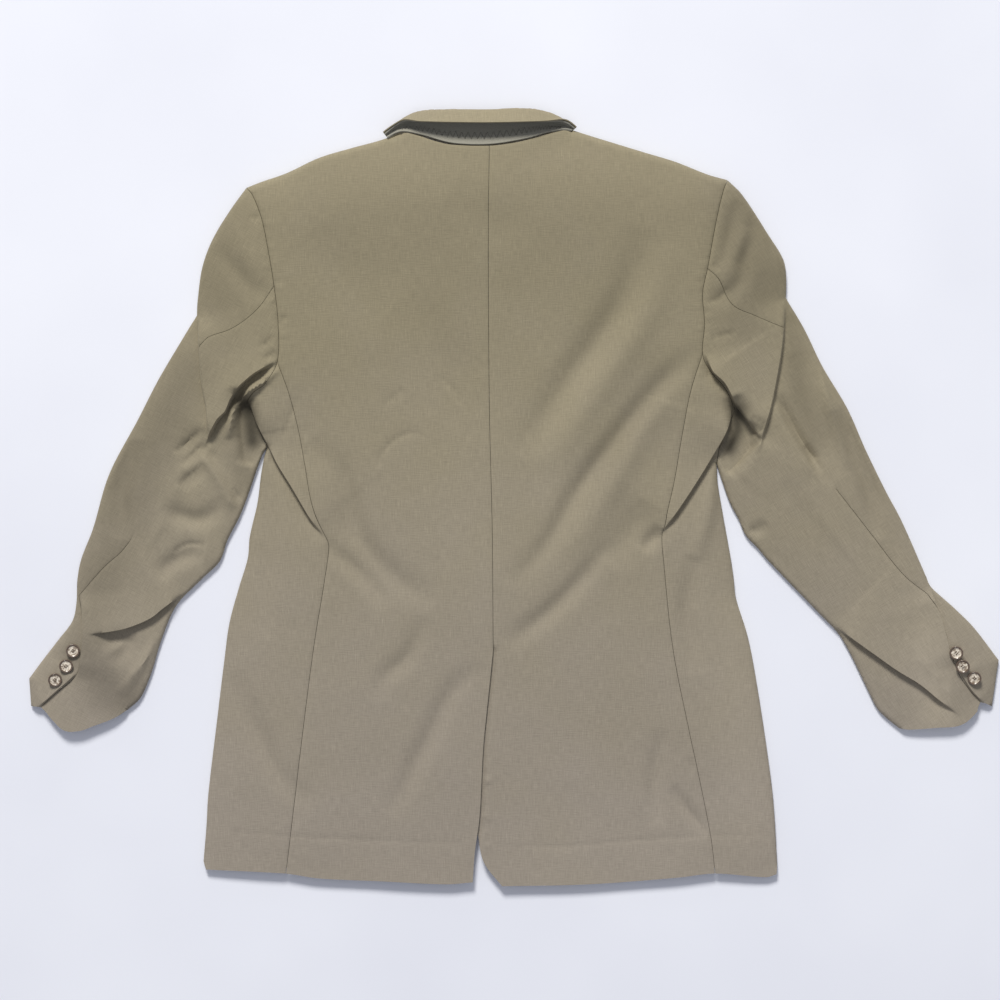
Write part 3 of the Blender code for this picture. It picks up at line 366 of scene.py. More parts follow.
# Sharp creases, each a narrow valley (negative) or a pressed ridge (positive).
CREASES = {
    # name: height, half width, path
    "left armhole pull 1": (-1.6, 3.0, [(-273, 287), (-259, 287)]),
    "left armhole pull 2": (-2.2, 3.5, [(-258, 140), (-244, 150)]),
    "left armhole pull 3": (-1.6, 3.0, [(-262, 152), (-246, 166)]),
    "left back pull": (-1.4, 3.0, [(-241, 175), (-234, 187)]),
    "left side body pull": (-1.5, 3.5, [(-238, 60), (-226, 92), (-222, 104)]),
    "left blade arc 1": (-1.0, 3.0, [(-77, 125), (-59, 108), (-53, 93)]),
    "left blade arc 2": (-1.0, 4.0, [(-111, 112), (-135, 93)]),
    "left blade arc 3": (-1.3, 3.5, [(-139, 29), (-131, 49), (-111, 64), (-90, 64)]),
    "left arm crease 1": (-1.8, 3.0, [(-319, 71), (-350, 45)]),
    "left arm crease 2": (-1.5, 3.0, [(-319, 56), (-343, 32)]),
    "left arm crease 3": (-1.5, 3.0, [(-319, 35), (-347, 10)]),
    "left elbow notch": (-2.5, 4.0, [(-318, -51), (-335, -49), (-352, -58)]),
    "left tip ridge": (1.8, 3.5, [(-314, 53), (-302, 30), (-287, 7), (-279, -9)]),
    "left cuff ridge line": (1.2, 2.5, [(-367, -142), (-381, -171), (-396, -187), (-409, -205)]),
    "left tab ridge": (1.2, 2.5, [(-461, -138), (-464, -152), (-466, -163)]),
    "right armhole pull 1": (-1.6, 3.0, [(205, 163), (231, 170)]),
    "right armhole pull 2": (-1.2, 2.5, [(206, 242), (214, 232)]),
    "right armhole pull 3": (-1.6, 3.0, [(199, 200), (214, 205), (222, 216)]),
    "right pocket curl": (-2.2, 2.0, [(247, 80), (253, 80), (258, 74), (254, 63)]),
    "right outer ridge line": (1.4, 2.5, [
        (320, 121), (325, 103), (332, 79), (337, 59), (344, 39), (348, 27),
    ]),
    "right upper crease": (-2.2, 3.5, [(303, 54), (308, 46), (316, 38)]),
    "right elbow nick": (-1.6, 3.0, [(243, -41), (252, -32)]),
    "left hem ridge": (-0.5, 2.5, [(-306, -346), (-230, -352), (-150, -356), (-50, -360)]),
    "right hem ridge": (-0.5, 2.5, [(-20, -362), (60, -362), (130, -356), (200, -352), (264, -350)]),
    "right hem pull": (-1.3, 4.0, [(166, -298), (180, -322), (204, -352)]),
    "vent pucker 1": (0.9, 3.0, [(-28, -290), (-24, -298)]),
    "vent pucker 2": (0.9, 3.0, [(-32, -328), (-22, -336)]),
    "vent pucker 3": (0.7, 3.0, [(-29, -362), (-22, -362)]),
}

# Painted shade and light, mixed with nap: along each path the cloth's colour is made darker (negative) or
# lighter. The deep shade inside the armpit folds is painted shade. So is the shade on the facet under the
# left fold, beside the right leaf, on the upper back and in the right drape. The right cuff carries painted
# light. The other rows make broad patches of the sleeves and back darker or lighter.
PAINTED_SHADE_AND_NAP = {
    # name: change of brightness, half width, path
    "left sleeve head": (-0.14, 34, [(-296, 285), (-306, 225), (-296, 180)]),
    "left outer arm": (-0.25, 30, [(-338, 130), (-362, 80), (-390, 20), (-412, -40), (-428, -90)]),
    "inside of the left armpit fold": (-0.75, 10, [(-278, 95), (-272, 76), (-270, 58)]),
    "facet under the left armpit fold": (-0.14, 12, [(-282, 40), (-276, 12)]),
    "inside of the right armpit fold": (-0.72, 8, [(233, 88), (234, 70), (226, 50)]),
    "left cuff": (-0.27, 26, [(-440, -160), (-420, -200), (-395, -215)]),
    "left forearm": (0.07, 30, [(-300, -10), (-330, -50)]),
    "right sleeve head": (-0.23, 38, [(235, 300), (248, 240), (240, 190)]),
    "right arm beside the leaf": (-0.17, 14, [(290, 180), (291, 130), (304, 90), (316, 64)]),
    "right outer arm": (-0.08, 18, [(340, 80), (362, 30), (384, -30)]),
    "upper back": (-0.07, 60, [(-200, 310), (-90, 270), (30, 270), (150, 310)]),
    "blade": (-0.05, 22, [(-80, 190), (-60, 150)]),
    "right drape": (-0.08, 20, [(150, 130), (120, 80), (90, 40)]),
    "middle back": (0.04, 60, [(-60, 80), (-40, -60)]),
    "right cuff": (0.15, 24, [(428, -150), (436, -195), (438, -225)]),
    "right of the middle": (0.05, 42, [(66, 110), (40, 0)]),
    "right side": (0.09, 34, [(228, -120), (238, -230), (246, -330)]),
    "right hem": (0.05, 60, [(60, -380), (160, -370)]),
}


def directions(path):
    """The unit vector along a path at each of its points."""
    tangents = np.gradient(path, axis=0)
    return tangents / np.linalg.norm(tangents, axis=1)[:, None]


def to_left(vectors):
    """Plan vectors turned left by a right angle."""
    return np.stack([-vectors[:, 1], vectors[:, 0]], axis=1)


def moved_left(path, amount):
    return path + amount * to_left(directions(path))


def between(t, start, end, leave, arrive, length=1.0):
    """The point at t, 0 to 1, of a smooth curve from start to end that has these directions at its ends."""
    return ((2 * t**3 - 3 * t**2 + 1) * start + (t**3 - 2 * t**2 + t) * length * leave
            + (3 * t**2 - 2 * t**3) * end + (t**3 - t**2) * length * arrive)


def smooth_curve(points, step):
    """A curve through the points, with a sample at each of them. A point given twice is a corner."""
    points = [tuple(point) for point in points]
    runs = [[points[0]]]
    for point in points[1:]:
        if point == runs[-1][-1]:
            runs.append([point])
        else:
            runs[-1].append(point)
    samples = []
    for run in runs:
        run = np.array(run, float)
        tangents = directions(run)
        for start, end, leave, arrive in zip(run[:-1], run[1:], tangents[:-1], tangents[1:]):
            length = np.linalg.norm(end - start)
            count = max(1, round(length / step))
            samples.append(between(np.arange(count)[:, None] / count, start, end, leave, arrive, length))
    samples.append(np.array([points[-1]], float))
    return np.vstack(samples)


def nearest_sample(curve, spot):
    """The index of the sample of a curve that is nearest to a spot."""
    return int(np.argmin(np.linalg.norm(curve - spot, axis=1)))


def stretch(curve, start, end):
    """The samples of a curve from the one nearest start to the one nearest end, in that direction."""
    first, last = nearest_sample(curve, start), nearest_sample(curve, end)
    return curve[first:last + 1] if last >= first else curve[last:first + 1][::-1]


def nearest_on(path, xy):
    """For each point: its distance to the path, its side (left positive) and how far along it is, 0 to 1."""
    runs = path[1:] - path[:-1]
    lengths = np.linalg.norm(runs, axis=1)
    before = np.concatenate([[0], np.cumsum(lengths)])
    total = lengths.sum()
    best, side, along = np.full(len(xy), np.inf), np.zeros(len(xy)), np.zeros(len(xy))
    for start, run, length, behind in zip(path[:-1], runs, lengths, before):
        offset = xy - start
        t = np.clip(offset @ run / length**2, 0, 1)
        away = offset - t[:, None] * run
        distance = np.hypot(away[:, 0], away[:, 1])
        nearer = distance < best - 1e-9
        best = np.where(nearer, distance, best)
        side = np.where(nearer, np.sign(run[0] * offset[:, 1] - run[1] * offset[:, 0]), side)
        along = np.where(nearer, (behind + t * length) / total, along)
    return best, side, along


def close_to(path, xy, reach):
    """The indices of the points within reach of the box round a path, and what nearest_on says of them."""
    low, high = path.min(axis=0) - reach, path.max(axis=0) + reach
    near = np.nonzero(np.all((xy > low) & (xy < high), axis=1))[0]
    return near, *nearest_on(path, xy[near])


def ramp(value):
    """A smooth rise from 0 to 1, as the value goes from 0 to 1."""
    value = np.clip(value, 0, 1)
    return value * value * (3 - 2 * value)


CURVE_STEP = 4.0
CURVES = {side_name: {name: smooth_curve(points, CURVE_STEP) for name, points in table.items()}
          for side_name, table in (("left", LEFT), ("right", RIGHT))}
CENTRE = smooth_curve(CENTRE_BACK, CURVE_STEP)
NECK_CURVE = smooth_curve(NECK, CURVE_STEP)
BODY_EDGES = [curve["side"] for curve in CURVES.values()]
SLEEVE_EDGES = [curve[name] for curve in CURVES.values() for name in ("outer", "inner")]
SHOULDER_EDGES = [curve["shoulder"] for curve in CURVES.values()]

# Seams, with how deep each sinks and how much the cloth puckers beside it.
SEAMS = [(CENTRE, 0.5, 0.10), (NECK_CURVE, 0.5, 0.15)]
for curve in CURVES.values():
    SEAMS += [(curve["armhole"], 1.0, 0.9), (curve["side_back"], 0.6, 0.25),
              (curve["upper_sleeve_seam"], 0.2, 0.15), (curve["lower_sleeve_seam"], 0.5, 0.2)]

FOLD_GAIN = 1.45
FOLD_SHIFT = 0.7
PATH_STEP = 6.0
CREASE_STEP = 4.0
SHADE_AND_NAP_STEP = 20.0
AWAY_FROM_WINDOW = np.array((0.2, -0.98))


def from_window(path, amount):
    """A path moved away from the window. FOLDS follows the shaded slope of a trough and the lit slope of a
    ridge, and this takes it to the middle of them."""
    across = to_left(directions(path))
    return path + amount * across * (across @ AWAY_FROM_WINDOW)[:, None]


FOLD_PATHS = [(FOLD_GAIN * rise, width, from_window(smooth_curve(path, PATH_STEP), FOLD_SHIFT * width))
              for rise, width, path in FOLDS.values()]
LAP_PATHS = [(*row, smooth_curve(path, PATH_STEP)) for *row, path in LAPS.values()]
CREASE_PATHS = [(*row, smooth_curve(path, CREASE_STEP)) for *row, path in CREASES.values()]
SHADE_AND_NAP_PATHS = [(*row, smooth_curve(path, SHADE_AND_NAP_STEP)) for *row, path in PAINTED_SHADE_AND_NAP.values()]

# A rolled edge is thin along sides and sleeves, and grows thick on the way up to the shoulders.
EDGE_HALF = 3.0
SHOULDER_EDGE_HALF = 7.5
EDGE_GROWS_FROM = 180
EDGE_GROWS_OVER = 130
SLEEVE_BLEND = 20
SLEEVE_REACH = 75
PILLOW_SHARPNESS = 4.0
LEAST_DISTANCE = 0.01


def edge_half(xy):
    """Half the thickness of a rolled edge."""
    growth = ramp((xy[:, 1] - EDGE_GROWS_FROM) / EDGE_GROWS_OVER)
    return EDGE_HALF + (SHOULDER_EDGE_HALF - EDGE_HALF) * growth


def distances(edges, xy):
    return [nearest_on(edge, xy)[0] for edge in edges]


def rolled_in(xy):
    """How far each point lies inside the nearest rolled edge, and how much it is on a sleeve, 0 to 1."""
    to_body, to_sleeve, to_shoulder = [np.min(distances(edges, xy), axis=0)
                                       for edges in (BODY_EDGES, SLEEVE_EDGES, SHOULDER_EDGES)]
    nearer = ramp((to_body - to_sleeve) / SLEEVE_BLEND + 0.5)
    on_sleeve = nearer * ramp((SLEEVE_REACH - to_sleeve) / SLEEVE_BLEND)
    return np.minimum(np.minimum(to_body, to_sleeve), to_shoulder), on_sleeve


def pillow_depth(xy):
    """Much like the distance inside the nearest rolled edge, but with no ridge midway between two edges."""
    near = np.maximum(distances(BODY_EDGES + SLEEVE_EDGES + SHOULDER_EDGES, xy), LEAST_DISTANCE)
    return np.sum(near**-PILLOW_SHARPNESS, axis=0)**(-1 / PILLOW_SHARPNESS)


PILLOW_REACH = 30.0
# The heights are averaged over these distances along the blazer, which rounds the corners of their table.
HEIGHT_SPREAD = (-30, -18, -7, 7, 18, 30)
WAVES = [
    # height, length and seed of the cloth's slow waves
    (0.9, 95.0, 3.7),
    (0.35, 38.0, 8.1),
]
FURROWS = [
    # paths, half widths that they reach, how fast they fade at their ends, and 2 if round or 1 if sharp
    (FOLD_PATHS, 3, 0.8, 2),
    (CREASE_PATHS, 5, 0.6, 1),
]
LAP_REACHES = 3
LAP_FADE = 0.22
LAP_DROP_REACH = 8.0
SEAM_REACH = 22
PUCKER_LENGTH = 6.0
PUCKER_REACH = 7.0
PUCKER_SIDES = 5.0
SEAM_FLAT = 2.5
SEAM_GROOVE = [
    # share of the seam's depth, half width
    (0.9, 1.1),
    (0.4, 5.0),
]
# Folds start inside a rolled edge, and nowhere press the cloth lower than this over the table.
RELIEF_START = 9.0
LEAST_HEIGHT = 3.2
LEAST_REACH = 6.0


def lap_taper(along):
    return ramp(along / LAP_FADE) * ramp((1 - along) / LAP_FADE)


def cloth_height(xy):
    """Height over the table of the outer face of the cloth that faces up."""
    inward, on_sleeve = rolled_in(xy)
    half = edge_half(xy)
    rows, *columns = np.array(HEIGHTS).T
    body, sleeve = [np.mean([np.interp(xy[:, 1] + away, rows, column) for away in HEIGHT_SPREAD], axis=0)
                    for column in columns]
    full = body + (sleeve - body) * on_sleeve
    rolled = half * np.sqrt(1 - np.clip(1 - inward / half, 0, 1)**2)
    height = half + rolled + np.maximum(full - 2 * half, 0) * (1 - np.exp(-pillow_depth(xy) / PILLOW_REACH))
    relief = sum(rise * np.array([noise.noise((x / length, y / length, seed)) for x, y in xy])
                 for rise, length, seed in WAVES)
    for paths, reach, fade, sharpness in FURROWS:
        for rise, half_width, path in paths:
            near, distance, _, along = close_to(path, xy, reach * half_width)
            taper = np.clip(np.sin(math.pi * along), 0, 1)**fade
            relief[near] += rise * taper * np.exp(-(distance / half_width)**sharpness)
    for rise, drop, width, reach, _, path in LAP_PATHS:
        near, distance, side, along = close_to(path, xy, LAP_REACHES * reach)
        signed = distance * side
        high = rise * np.exp(-np.maximum(signed - width, 0) / reach)
        low = -drop * np.exp(np.minimum(signed, 0) / LAP_DROP_REACH)
        fade = ramp((LAP_REACHES * reach - distance) / reach)
        relief[near] += fade * lap_taper(along) * (low + (high - low) * ramp(signed / width))
    for path, depth, pucker in SEAMS:
        near, distance, side, along = close_to(path, xy, SEAM_REACH)
        length = np.linalg.norm(np.diff(path, axis=0), axis=1).sum()
        pull = np.array([noise.noise((a * length / PUCKER_LENGTH, s * PUCKER_SIDES, path[0][0]))
                         for a, s in zip(along, side)])
        relief[near] += pucker * pull * np.exp(-distance / PUCKER_REACH) * ramp(distance / SEAM_FLAT)
        relief[near] -= depth * sum(share * np.exp(-(distance / half_width)**2)
                                    for share, half_width in SEAM_GROOVE)
    least = LEAST_HEIGHT + (2 * half + 1.0 - LEAST_HEIGHT) * np.exp(-inward / LEAST_REACH)
    return np.maximum(height + relief * ramp(inward / RELIEF_START), np.minimum(height, least))


SHADE_AND_NAP_REACHES = 2.5
OVERHANG_REACHES = 3
OVERHANG_MIDDLE = 0.5
OVERHANG_WIDTH = 0.9


def painted_shade_and_nap_at(xy):
    """How much lighter or darker the colour is painted at each point: painted shade and light, mixed with
    nap.
    """
    shade = np.zeros(len(xy))
    for change, half_width, path in SHADE_AND_NAP_PATHS:
        near, distance, _, _ = close_to(path, xy, SHADE_AND_NAP_REACHES * half_width)
        shade[near] += change * np.exp(-(distance / half_width)**2)
    return shade


def overhang(xy):
    """How far each point is drawn sideways, so that a laid-over edge hangs over its low side."""
    shift = np.zeros((len(xy), 2))
    for _, _, width, _, amount, path in LAP_PATHS:
        near, distance, side, along = close_to(path, xy, OVERHANG_REACHES * width)
        place = np.clip(along * (len(path) - 1), 0, len(path) - 1)
        heading = np.stack([np.interp(place, range(len(path)), column)
                            for column in directions(path).T], axis=1)
        turn = distance * side / width - OVERHANG_MIDDLE
        wave = -2.0 * turn * np.exp(-(turn / OVERHANG_WIDTH)**2)
        shift[near] += to_left(heading) * (amount * lap_taper(along) * wave)[:, None]
    return shift


MITRE_LIMIT = 0.4


def inset(outline, gaps, amount):
    """Moves an outline inwards by amount on each side that has a gap. It runs anticlockwise."""
    moved = outline.copy()
    ahead = np.roll(outline, -1, axis=0) - outline
    ahead /= np.linalg.norm(ahead, axis=1)[:, None]
    left = to_left(ahead)
    for index in range(len(outline)):
        before, after = ahead[index - 1], ahead[index]
        left_before, left_after = left[index - 1], left[index]
        gap_before, gap_after = gaps[index - 1], gaps[index]
        if gap_before and gap_after:
            shift = (left_before + left_after) / max(MITRE_LIMIT, 1 + left_before @ left_after)
        elif gap_before:
            shift = after / max(MITRE_LIMIT, abs(after @ left_before))
        elif gap_after:
            shift = -before / max(MITRE_LIMIT, abs(before @ left_after))
        else:
            continue
        moved[index] += amount * shift
    return moved


def closed_outline(curves):
    """Joins curves end to end into an outline that runs anticlockwise. Each is (samples, cut, spaced): a cut
    edge has a piece beyond it, and a spaced one shows as a seam."""
    points = np.vstack([samples[:-1] for samples, _, _ in curves])
    gaps = [(cut, spaced) for samples, cut, spaced in curves for _ in samples[:-1]]
    area = np.sum(points[:, 0] * np.roll(points[:, 1], -1) - points[:, 1] * np.roll(points[:, 0], -1))
    if area < 0:
        points = points[::-1]
        gaps = gaps[::-1]
        gaps = gaps[1:] + gaps[:1]
    return inset(points, [spaced for _, spaced in gaps], SEAM_GAP / 2), [cut for cut, _ in gaps]


def inside(outline, xy):
    """True where a point is inside a closed outline."""
    found = np.zeros(len(xy), bool)
    for (x0, y0), (x1, y1) in zip(outline, np.roll(outline, -1, axis=0)):
        if y0 != y1:
            level = (y0 > xy[:, 1]) != (y1 > xy[:, 1])
            found ^= level & (xy[:, 0] < x0 + (xy[:, 1] - y0) * (x1 - x0) / (y1 - y0))
    return found


def clear_of(edge, points, away):
    """The points that are farther than away from an edge."""
    return points[nearest_on(edge, points)[0] > away] if len(points) else points


def keep_apart(kept, points, apart):
    """The kept points and those of the new ones that are not closer than apart to a kept one."""
    tree = kdtree.KDTree(len(kept))
    for index, point in enumerate(kept):
        tree.insert((*point, 0), index)
    tree.balance()
    added = [point for point in points if tree.find((*point, 0))[2] > apart]
    return np.vstack([kept, added]) if added else kept


# Rings of points inside a rolled edge lie at these shares of its half thickness, which keeps its curve
# round, and one ring inside each seam. The grid is of equal triangles, in shares of its step.
ROLL_RINGS = (0.09, 0.34, 0.72)
ROLL_RING_CLEAR = 0.8
ROLL_RING_APART = 0.16
SEAM_RING = 1.3
SEAM_RING_CLEAR = 1.0
SEAM_RING_APART = 0.9
ROW_CLEAR = 0.6
ROW_APART = 0.7
GRID_LINES = 0.866
GRID_CLEAR = 0.45
GRID_APART = 0.55


def fill(outline, gaps, step, rows):
    """Triangles inside an outline: its own points, rings inside its edges, rows along laps, then a grid."""
    kept = outline.copy()
    ahead = np.roll(outline, -1, axis=0) - np.roll(outline, 1, axis=0)
    inwards = to_left(ahead) / np.linalg.norm(ahead, axis=1)[:, None]
    closed = np.vstack([outline, outline[:1]])
    half = edge_half(outline)
    soft = np.array([not (gaps[k] or gaps[k - 1]) for k in range(len(gaps))])
    for share in ROLL_RINGS:
        ring = (outline + inwards * (share * half)[:, None])[soft]
        ring = clear_of(closed, ring, ROLL_RING_CLEAR * share * half[soft])
        kept = keep_apart(kept, ring, ROLL_RING_APART)
    ring = (outline + inwards * SEAM_RING)[~soft]
    kept = keep_apart(kept, clear_of(closed, ring, SEAM_RING_CLEAR), SEAM_RING_APART)
    low, high = outline.min(axis=0), outline.max(axis=0)
    for row in rows:
        row = row[np.all((row > low) & (row < high), axis=1)]
        if len(row):
            row = clear_of(closed, row[inside(outline, row)], ROW_CLEAR)
            kept = keep_apart(kept, row, ROW_APART)
    columns, lines = np.meshgrid(np.arange(low[0], high[0], step),
                                 np.arange(low[1], high[1], step * GRID_LINES))
    columns[1::2] += step / 2
    grid = np.stack([columns.ravel(), lines.ravel()], axis=1)
    grid = clear_of(closed, grid[inside(outline, grid)], GRID_CLEAR * step)
    kept = keep_apart(kept, grid, GRID_APART * step)
    rim = list(range(len(outline)))
    _, _, faces, sources, *_ = delaunay_2d_cdt([Vector(point) for point in kept], [], [rim], 1, 1e-4)
    origin = [source[0] if source else -1 for source in sources]
    triangles = [[origin[corner] for corner in face] for face in faces]
    return kept, [face for face in triangles if min(face) >= 0]


# Points in rows along each lap, at these shares of its width, and along each crease.
LAP_SHARES = (0.0, 0.25, 0.5, 0.75, 1.0, -0.5, 1.5)
LAP_ROW_STEP = 2.2
CREASE_ROW_STEP = 2.0
DETAIL_ROWS = [moved_left(smooth_curve(path, LAP_ROW_STEP), share * width)
               for _, _, width, _, _, path in LAP_PATHS for share in LAP_SHARES]
DETAIL_ROWS += [smooth_curve(path, CREASE_ROW_STEP) for _, _, path in CREASE_PATHS]
GRID_STEP = 2.5
UNDERSIDE_STEP = 9.0
# Points on the rims of the two faces that are closer than this are one.
SAME_POINT = 1.2


def floor_height(xy):
    """Height of the cloth that lies on the table: none, but rising round a rolled edge."""
    inward, _ = rolled_in(xy)
    half = edge_half(xy)
    return half * (1 - np.sqrt(1 - np.clip(1 - inward / half, 0, 1)**2))


def wool_cloth():
    """Tropical wool, plain woven from uneven yarn and pressed: matt, dry and slightly hairy. Thick places in
    the warp and the weft show as short crossing streaks, lighter and darker than the ground."""
    cloth = new_material("plain_woven_wool")
    thread = add_node(cloth, "UVMap", {"uv_map": "weave"}).outputs[0]
    place = add_node(cloth, "TexCoord").outputs["Object"]
    streaks = []
    # A slub is about a millimetre thick and 12 to 30 mm long. Thread spacing is 0.45 mm in the real cloth,
    # and is drawn at 1.3 mm so that it shows. The warp comes first, then the weft.
    for scale in ((1000.0, 75.0, 1.0), (95.0, 1000.0, 1.0)):
        mapped = add_node(cloth, "Mapping", {"Scale": scale}, {"Vector": thread}).outputs[0]
        streaks.append(add_node(cloth, "TexNoise", {"Scale": 1.0, "Detail": 2.0, "Roughness": 0.6},
                                {"Vector": mapped}).outputs["Fac"])
    threads = add_node(cloth, "Math", {"operation": "ADD"}, {0: streaks[0], 1: streaks[1]}).outputs[0]
    # Towards the collar the cloth is a little more olive, towards the hem a little more grey.
    mottle = add_node(cloth, "TexNoise", {"Scale": 11.0, "Detail": 3.0}, {"Vector": place}).outputs["Fac"]
    height = add_node(cloth, "SeparateXYZ", {}, {0: place}).outputs["Y"]
    fade = add_node(cloth, "MapRange", {"From Min": -0.34, "From Max": 0.2}, {"Value": height}).outputs[0]
    blend = add_node(cloth, "Math", {"operation": "MULTIPLY_ADD", 1: 0.5, 2: -0.25}, {0: mottle}).outputs[0]
    fade = add_node(cloth, "Math", {"operation": "ADD", "use_clamp": True}, {0: fade, 1: blend}).outputs[0]
    ground = add_node(cloth, "Mix", {"data_type": "RGBA", 6: linear("#948b7e"), 7: linear("#8c836b")},
                      {0: fade}).outputs[2]
    shade = add_node(cloth, "MapRange", {"From Min": 0.72, "From Max": 1.28, "To Min": 0.89, "To Max": 1.11},
                     {"Value": threads}).outputs[0]
    # A few thick places stand out more, light ones along the warp and dark ones along the weft.
    for slub, change in zip(streaks, (0.13, -0.16)):
        thick = add_node(cloth, "MapRange", {"From Min": 0.66, "From Max": 0.76, "To Max": change},
                         {"Value": slub}).outputs[0]
        shade = add_node(cloth, "Math", {"operation": "ADD"}, {0: shade, 1: thick}).outputs[0]
    # Painted shade and light, mixed with nap, are carried by the mesh's points and scale the colour. They
    # are darkest inside the armpit folds.
    shade_and_nap = add_node(cloth, "Attribute", {"attribute_name": "shade_and_nap"}).outputs["Fac"]
    shade = add_node(cloth, "Math", {"operation": "MULTIPLY_ADD"}, {0: shade_and_nap, 1: shade, 2: shade}).outputs[0]
    colour = add_node(cloth, "VectorMath", {"operation": "SCALE"}, {0: ground, "Scale": shade}).outputs[0]
    bump = add_node(cloth, "Bump", {"Strength": 0.5, "Distance": 0.0004}, {"Height": threads}).outputs[0]
    wool = add_node(cloth, "BsdfPrincipled",
                    {"Roughness": 0.82, "IOR": 1.46, "Specular IOR Level": 0.3, "Sheen Weight": 0.25,
                     "Sheen Roughness": 0.45, "Sheen Tint": linear("#d8cdb4")},
                    {"Base Color": colour, "Normal": bump})
    add_node(cloth, "OutputMaterial", {}, {"Surface": wool.outputs[0]})
    return cloth


WOOL = wool_cloth()


def sheet_mesh(name, points, faces, threads, material):
    """A smooth mesh from points in millimetres. Threads, their places along warp and weft, go in its map."""
    mesh = bpy.data.meshes.new(name)
    mesh.from_pydata([tuple(MM * value for value in point) for point in points], [], faces)
    corners = np.empty(len(mesh.loops), np.int32)
    mesh.loops.foreach_get("vertex_index", corners)
    mesh.uv_layers.new(name="weave").data.foreach_set("uv", (threads[corners] * MM).ravel())
    mesh.materials.append(material)
    mesh.shade_smooth()
    return mesh


def cut_piece(name, top=None, under=None, top_height=cloth_height, under_height=floor_height, rows=(),
              grain=0.0):
    """A cut piece of wool: what faces up, what lies on the table, or both, joined round their rolled edges.
    Grain is the angle of the warp from +Y, in degrees."""
    points, triangles, flat, shade_and_nap = [], [], [], []
    rolled = {}
    for curves, upward in ((top, True), (under, False)):
        if curves is None:
            continue
        outline, gaps = closed_outline(curves)
        if upward:
            plan, faces = fill(outline, gaps, GRID_STEP, [*rows, *DETAIL_ROWS])
            z, place = top_height(plan), plan + overhang(plan)
        else:
            plan, faces = fill(outline, gaps, UNDERSIDE_STEP, rows)
            z, place = under_height(plan), plan
        half = edge_half(plan)
        # Painted shade and light, mixed with nap, at each point. The mesh carries it as an attribute for the
        # colour.
        shade = painted_shade_and_nap_at(plan)
        index_of = []
        for index in range(len(plan)):
            edge = index < len(outline) and not (gaps[index] and gaps[index - 1])
            if edge:
                near = [key for key in rolled if math.dist(key, plan[index]) < SAME_POINT]
                if near and not upward:
                    index_of.append(rolled[near[0]])
                    continue
                rolled[tuple(plan[index])] = len(points)
            index_of.append(len(points))
            points.append((*(place[index] - PLAN_CENTRE), half[index] if edge else z[index]))
            flat.append(plan[index])
            shade_and_nap.append(shade[index])
        triangles += [[index_of[corner] for corner in (face if upward else face[::-1])] for face in faces]
    turn = math.radians(grain)
    weft = np.array([math.cos(turn), math.sin(turn)])
    warp = np.array([-math.sin(turn), math.cos(turn)])
    threads = np.stack([np.array(flat) @ weft, np.array(flat) @ warp], axis=1)
    mesh = sheet_mesh(name, points, triangles, threads, WOOL)
    mesh.attributes.new("shade_and_nap", "FLOAT", "POINT").data.foreach_set("value", np.array(shade_and_nap, np.float32))
    piece = put(name, mesh)
    wall = piece.modifiers.new("wall", "SOLIDIFY")
    wall.thickness = WALL * MM
    wall.offset = -1.0
    thick = bpy.data.meshes.new_from_object(piece.evaluated_get(bpy.context.evaluated_depsgraph_get()))
    piece.modifiers.clear()
    piece.data = thick
    thick.name = name
    thick.set_sharp_from_angle(angle=math.radians(50))
    bpy.data.meshes.remove(mesh)
    return piece


def seam(samples):
    return samples, True, True


def hidden_seam(samples):
    return samples, True, False


def rolled_edge(samples):
    return samples, False, False


def lay(piece, node, area):
    """Puts a finished piece under the root body and hides the CAD part of its node, which it stands for.
    Area, the flat size it was cut to, is not used.
    """
    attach(piece, "root")
    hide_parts(node)


UNDER_VENT = stretch(CURVES["left"]["vent"], LEFT["vent"][0], LEFT["vent"][-1])
VENT_UNDERLAP_DROP = 3.2
VENT_UNDERLAP = 5.5
VENT_SLOPE = 4.5
VENT_TOP = -150
VENT_TOP_FADE = 12


def underlap_height(xy):
    """The right back dips under the left one along the vent."""
    distance, side, _ = nearest_on(UNDER_VENT, xy)
    under = ramp((VENT_UNDERLAP - distance * side) / VENT_SLOPE)
    return cloth_height(xy) - VENT_UNDERLAP_DROP * under * ramp((VENT_TOP - xy[:, 1]) / VENT_TOP_FADE)


# How far the shoulder seam lies behind the edge, at the neck too, and from the shoulder point at its end.
SHOULDER_WRAP = 9.0
NECK_WRAP = 3.5
ARMHOLE_WRAP = 10.0
INWARDS = {"left": 1, "right": -1}


def shoulder_seam_of(side_name):
    """The shoulder seam, a little behind the shoulder's rolled edge, and its end at the armhole."""
    shoulder, armhole = CURVES[side_name]["shoulder"], CURVES[side_name]["armhole"]
    behind = moved_left(shoulder, SHOULDER_WRAP * INWARDS[side_name])
    behind[0] = shoulder[0] - (0.0, NECK_WRAP)
    from_point = np.linalg.norm(armhole - shoulder[-1], axis=1)
    behind[-1] = armhole[np.argmin(np.abs(from_point - ARMHOLE_WRAP))]
    return behind, behind[-1]


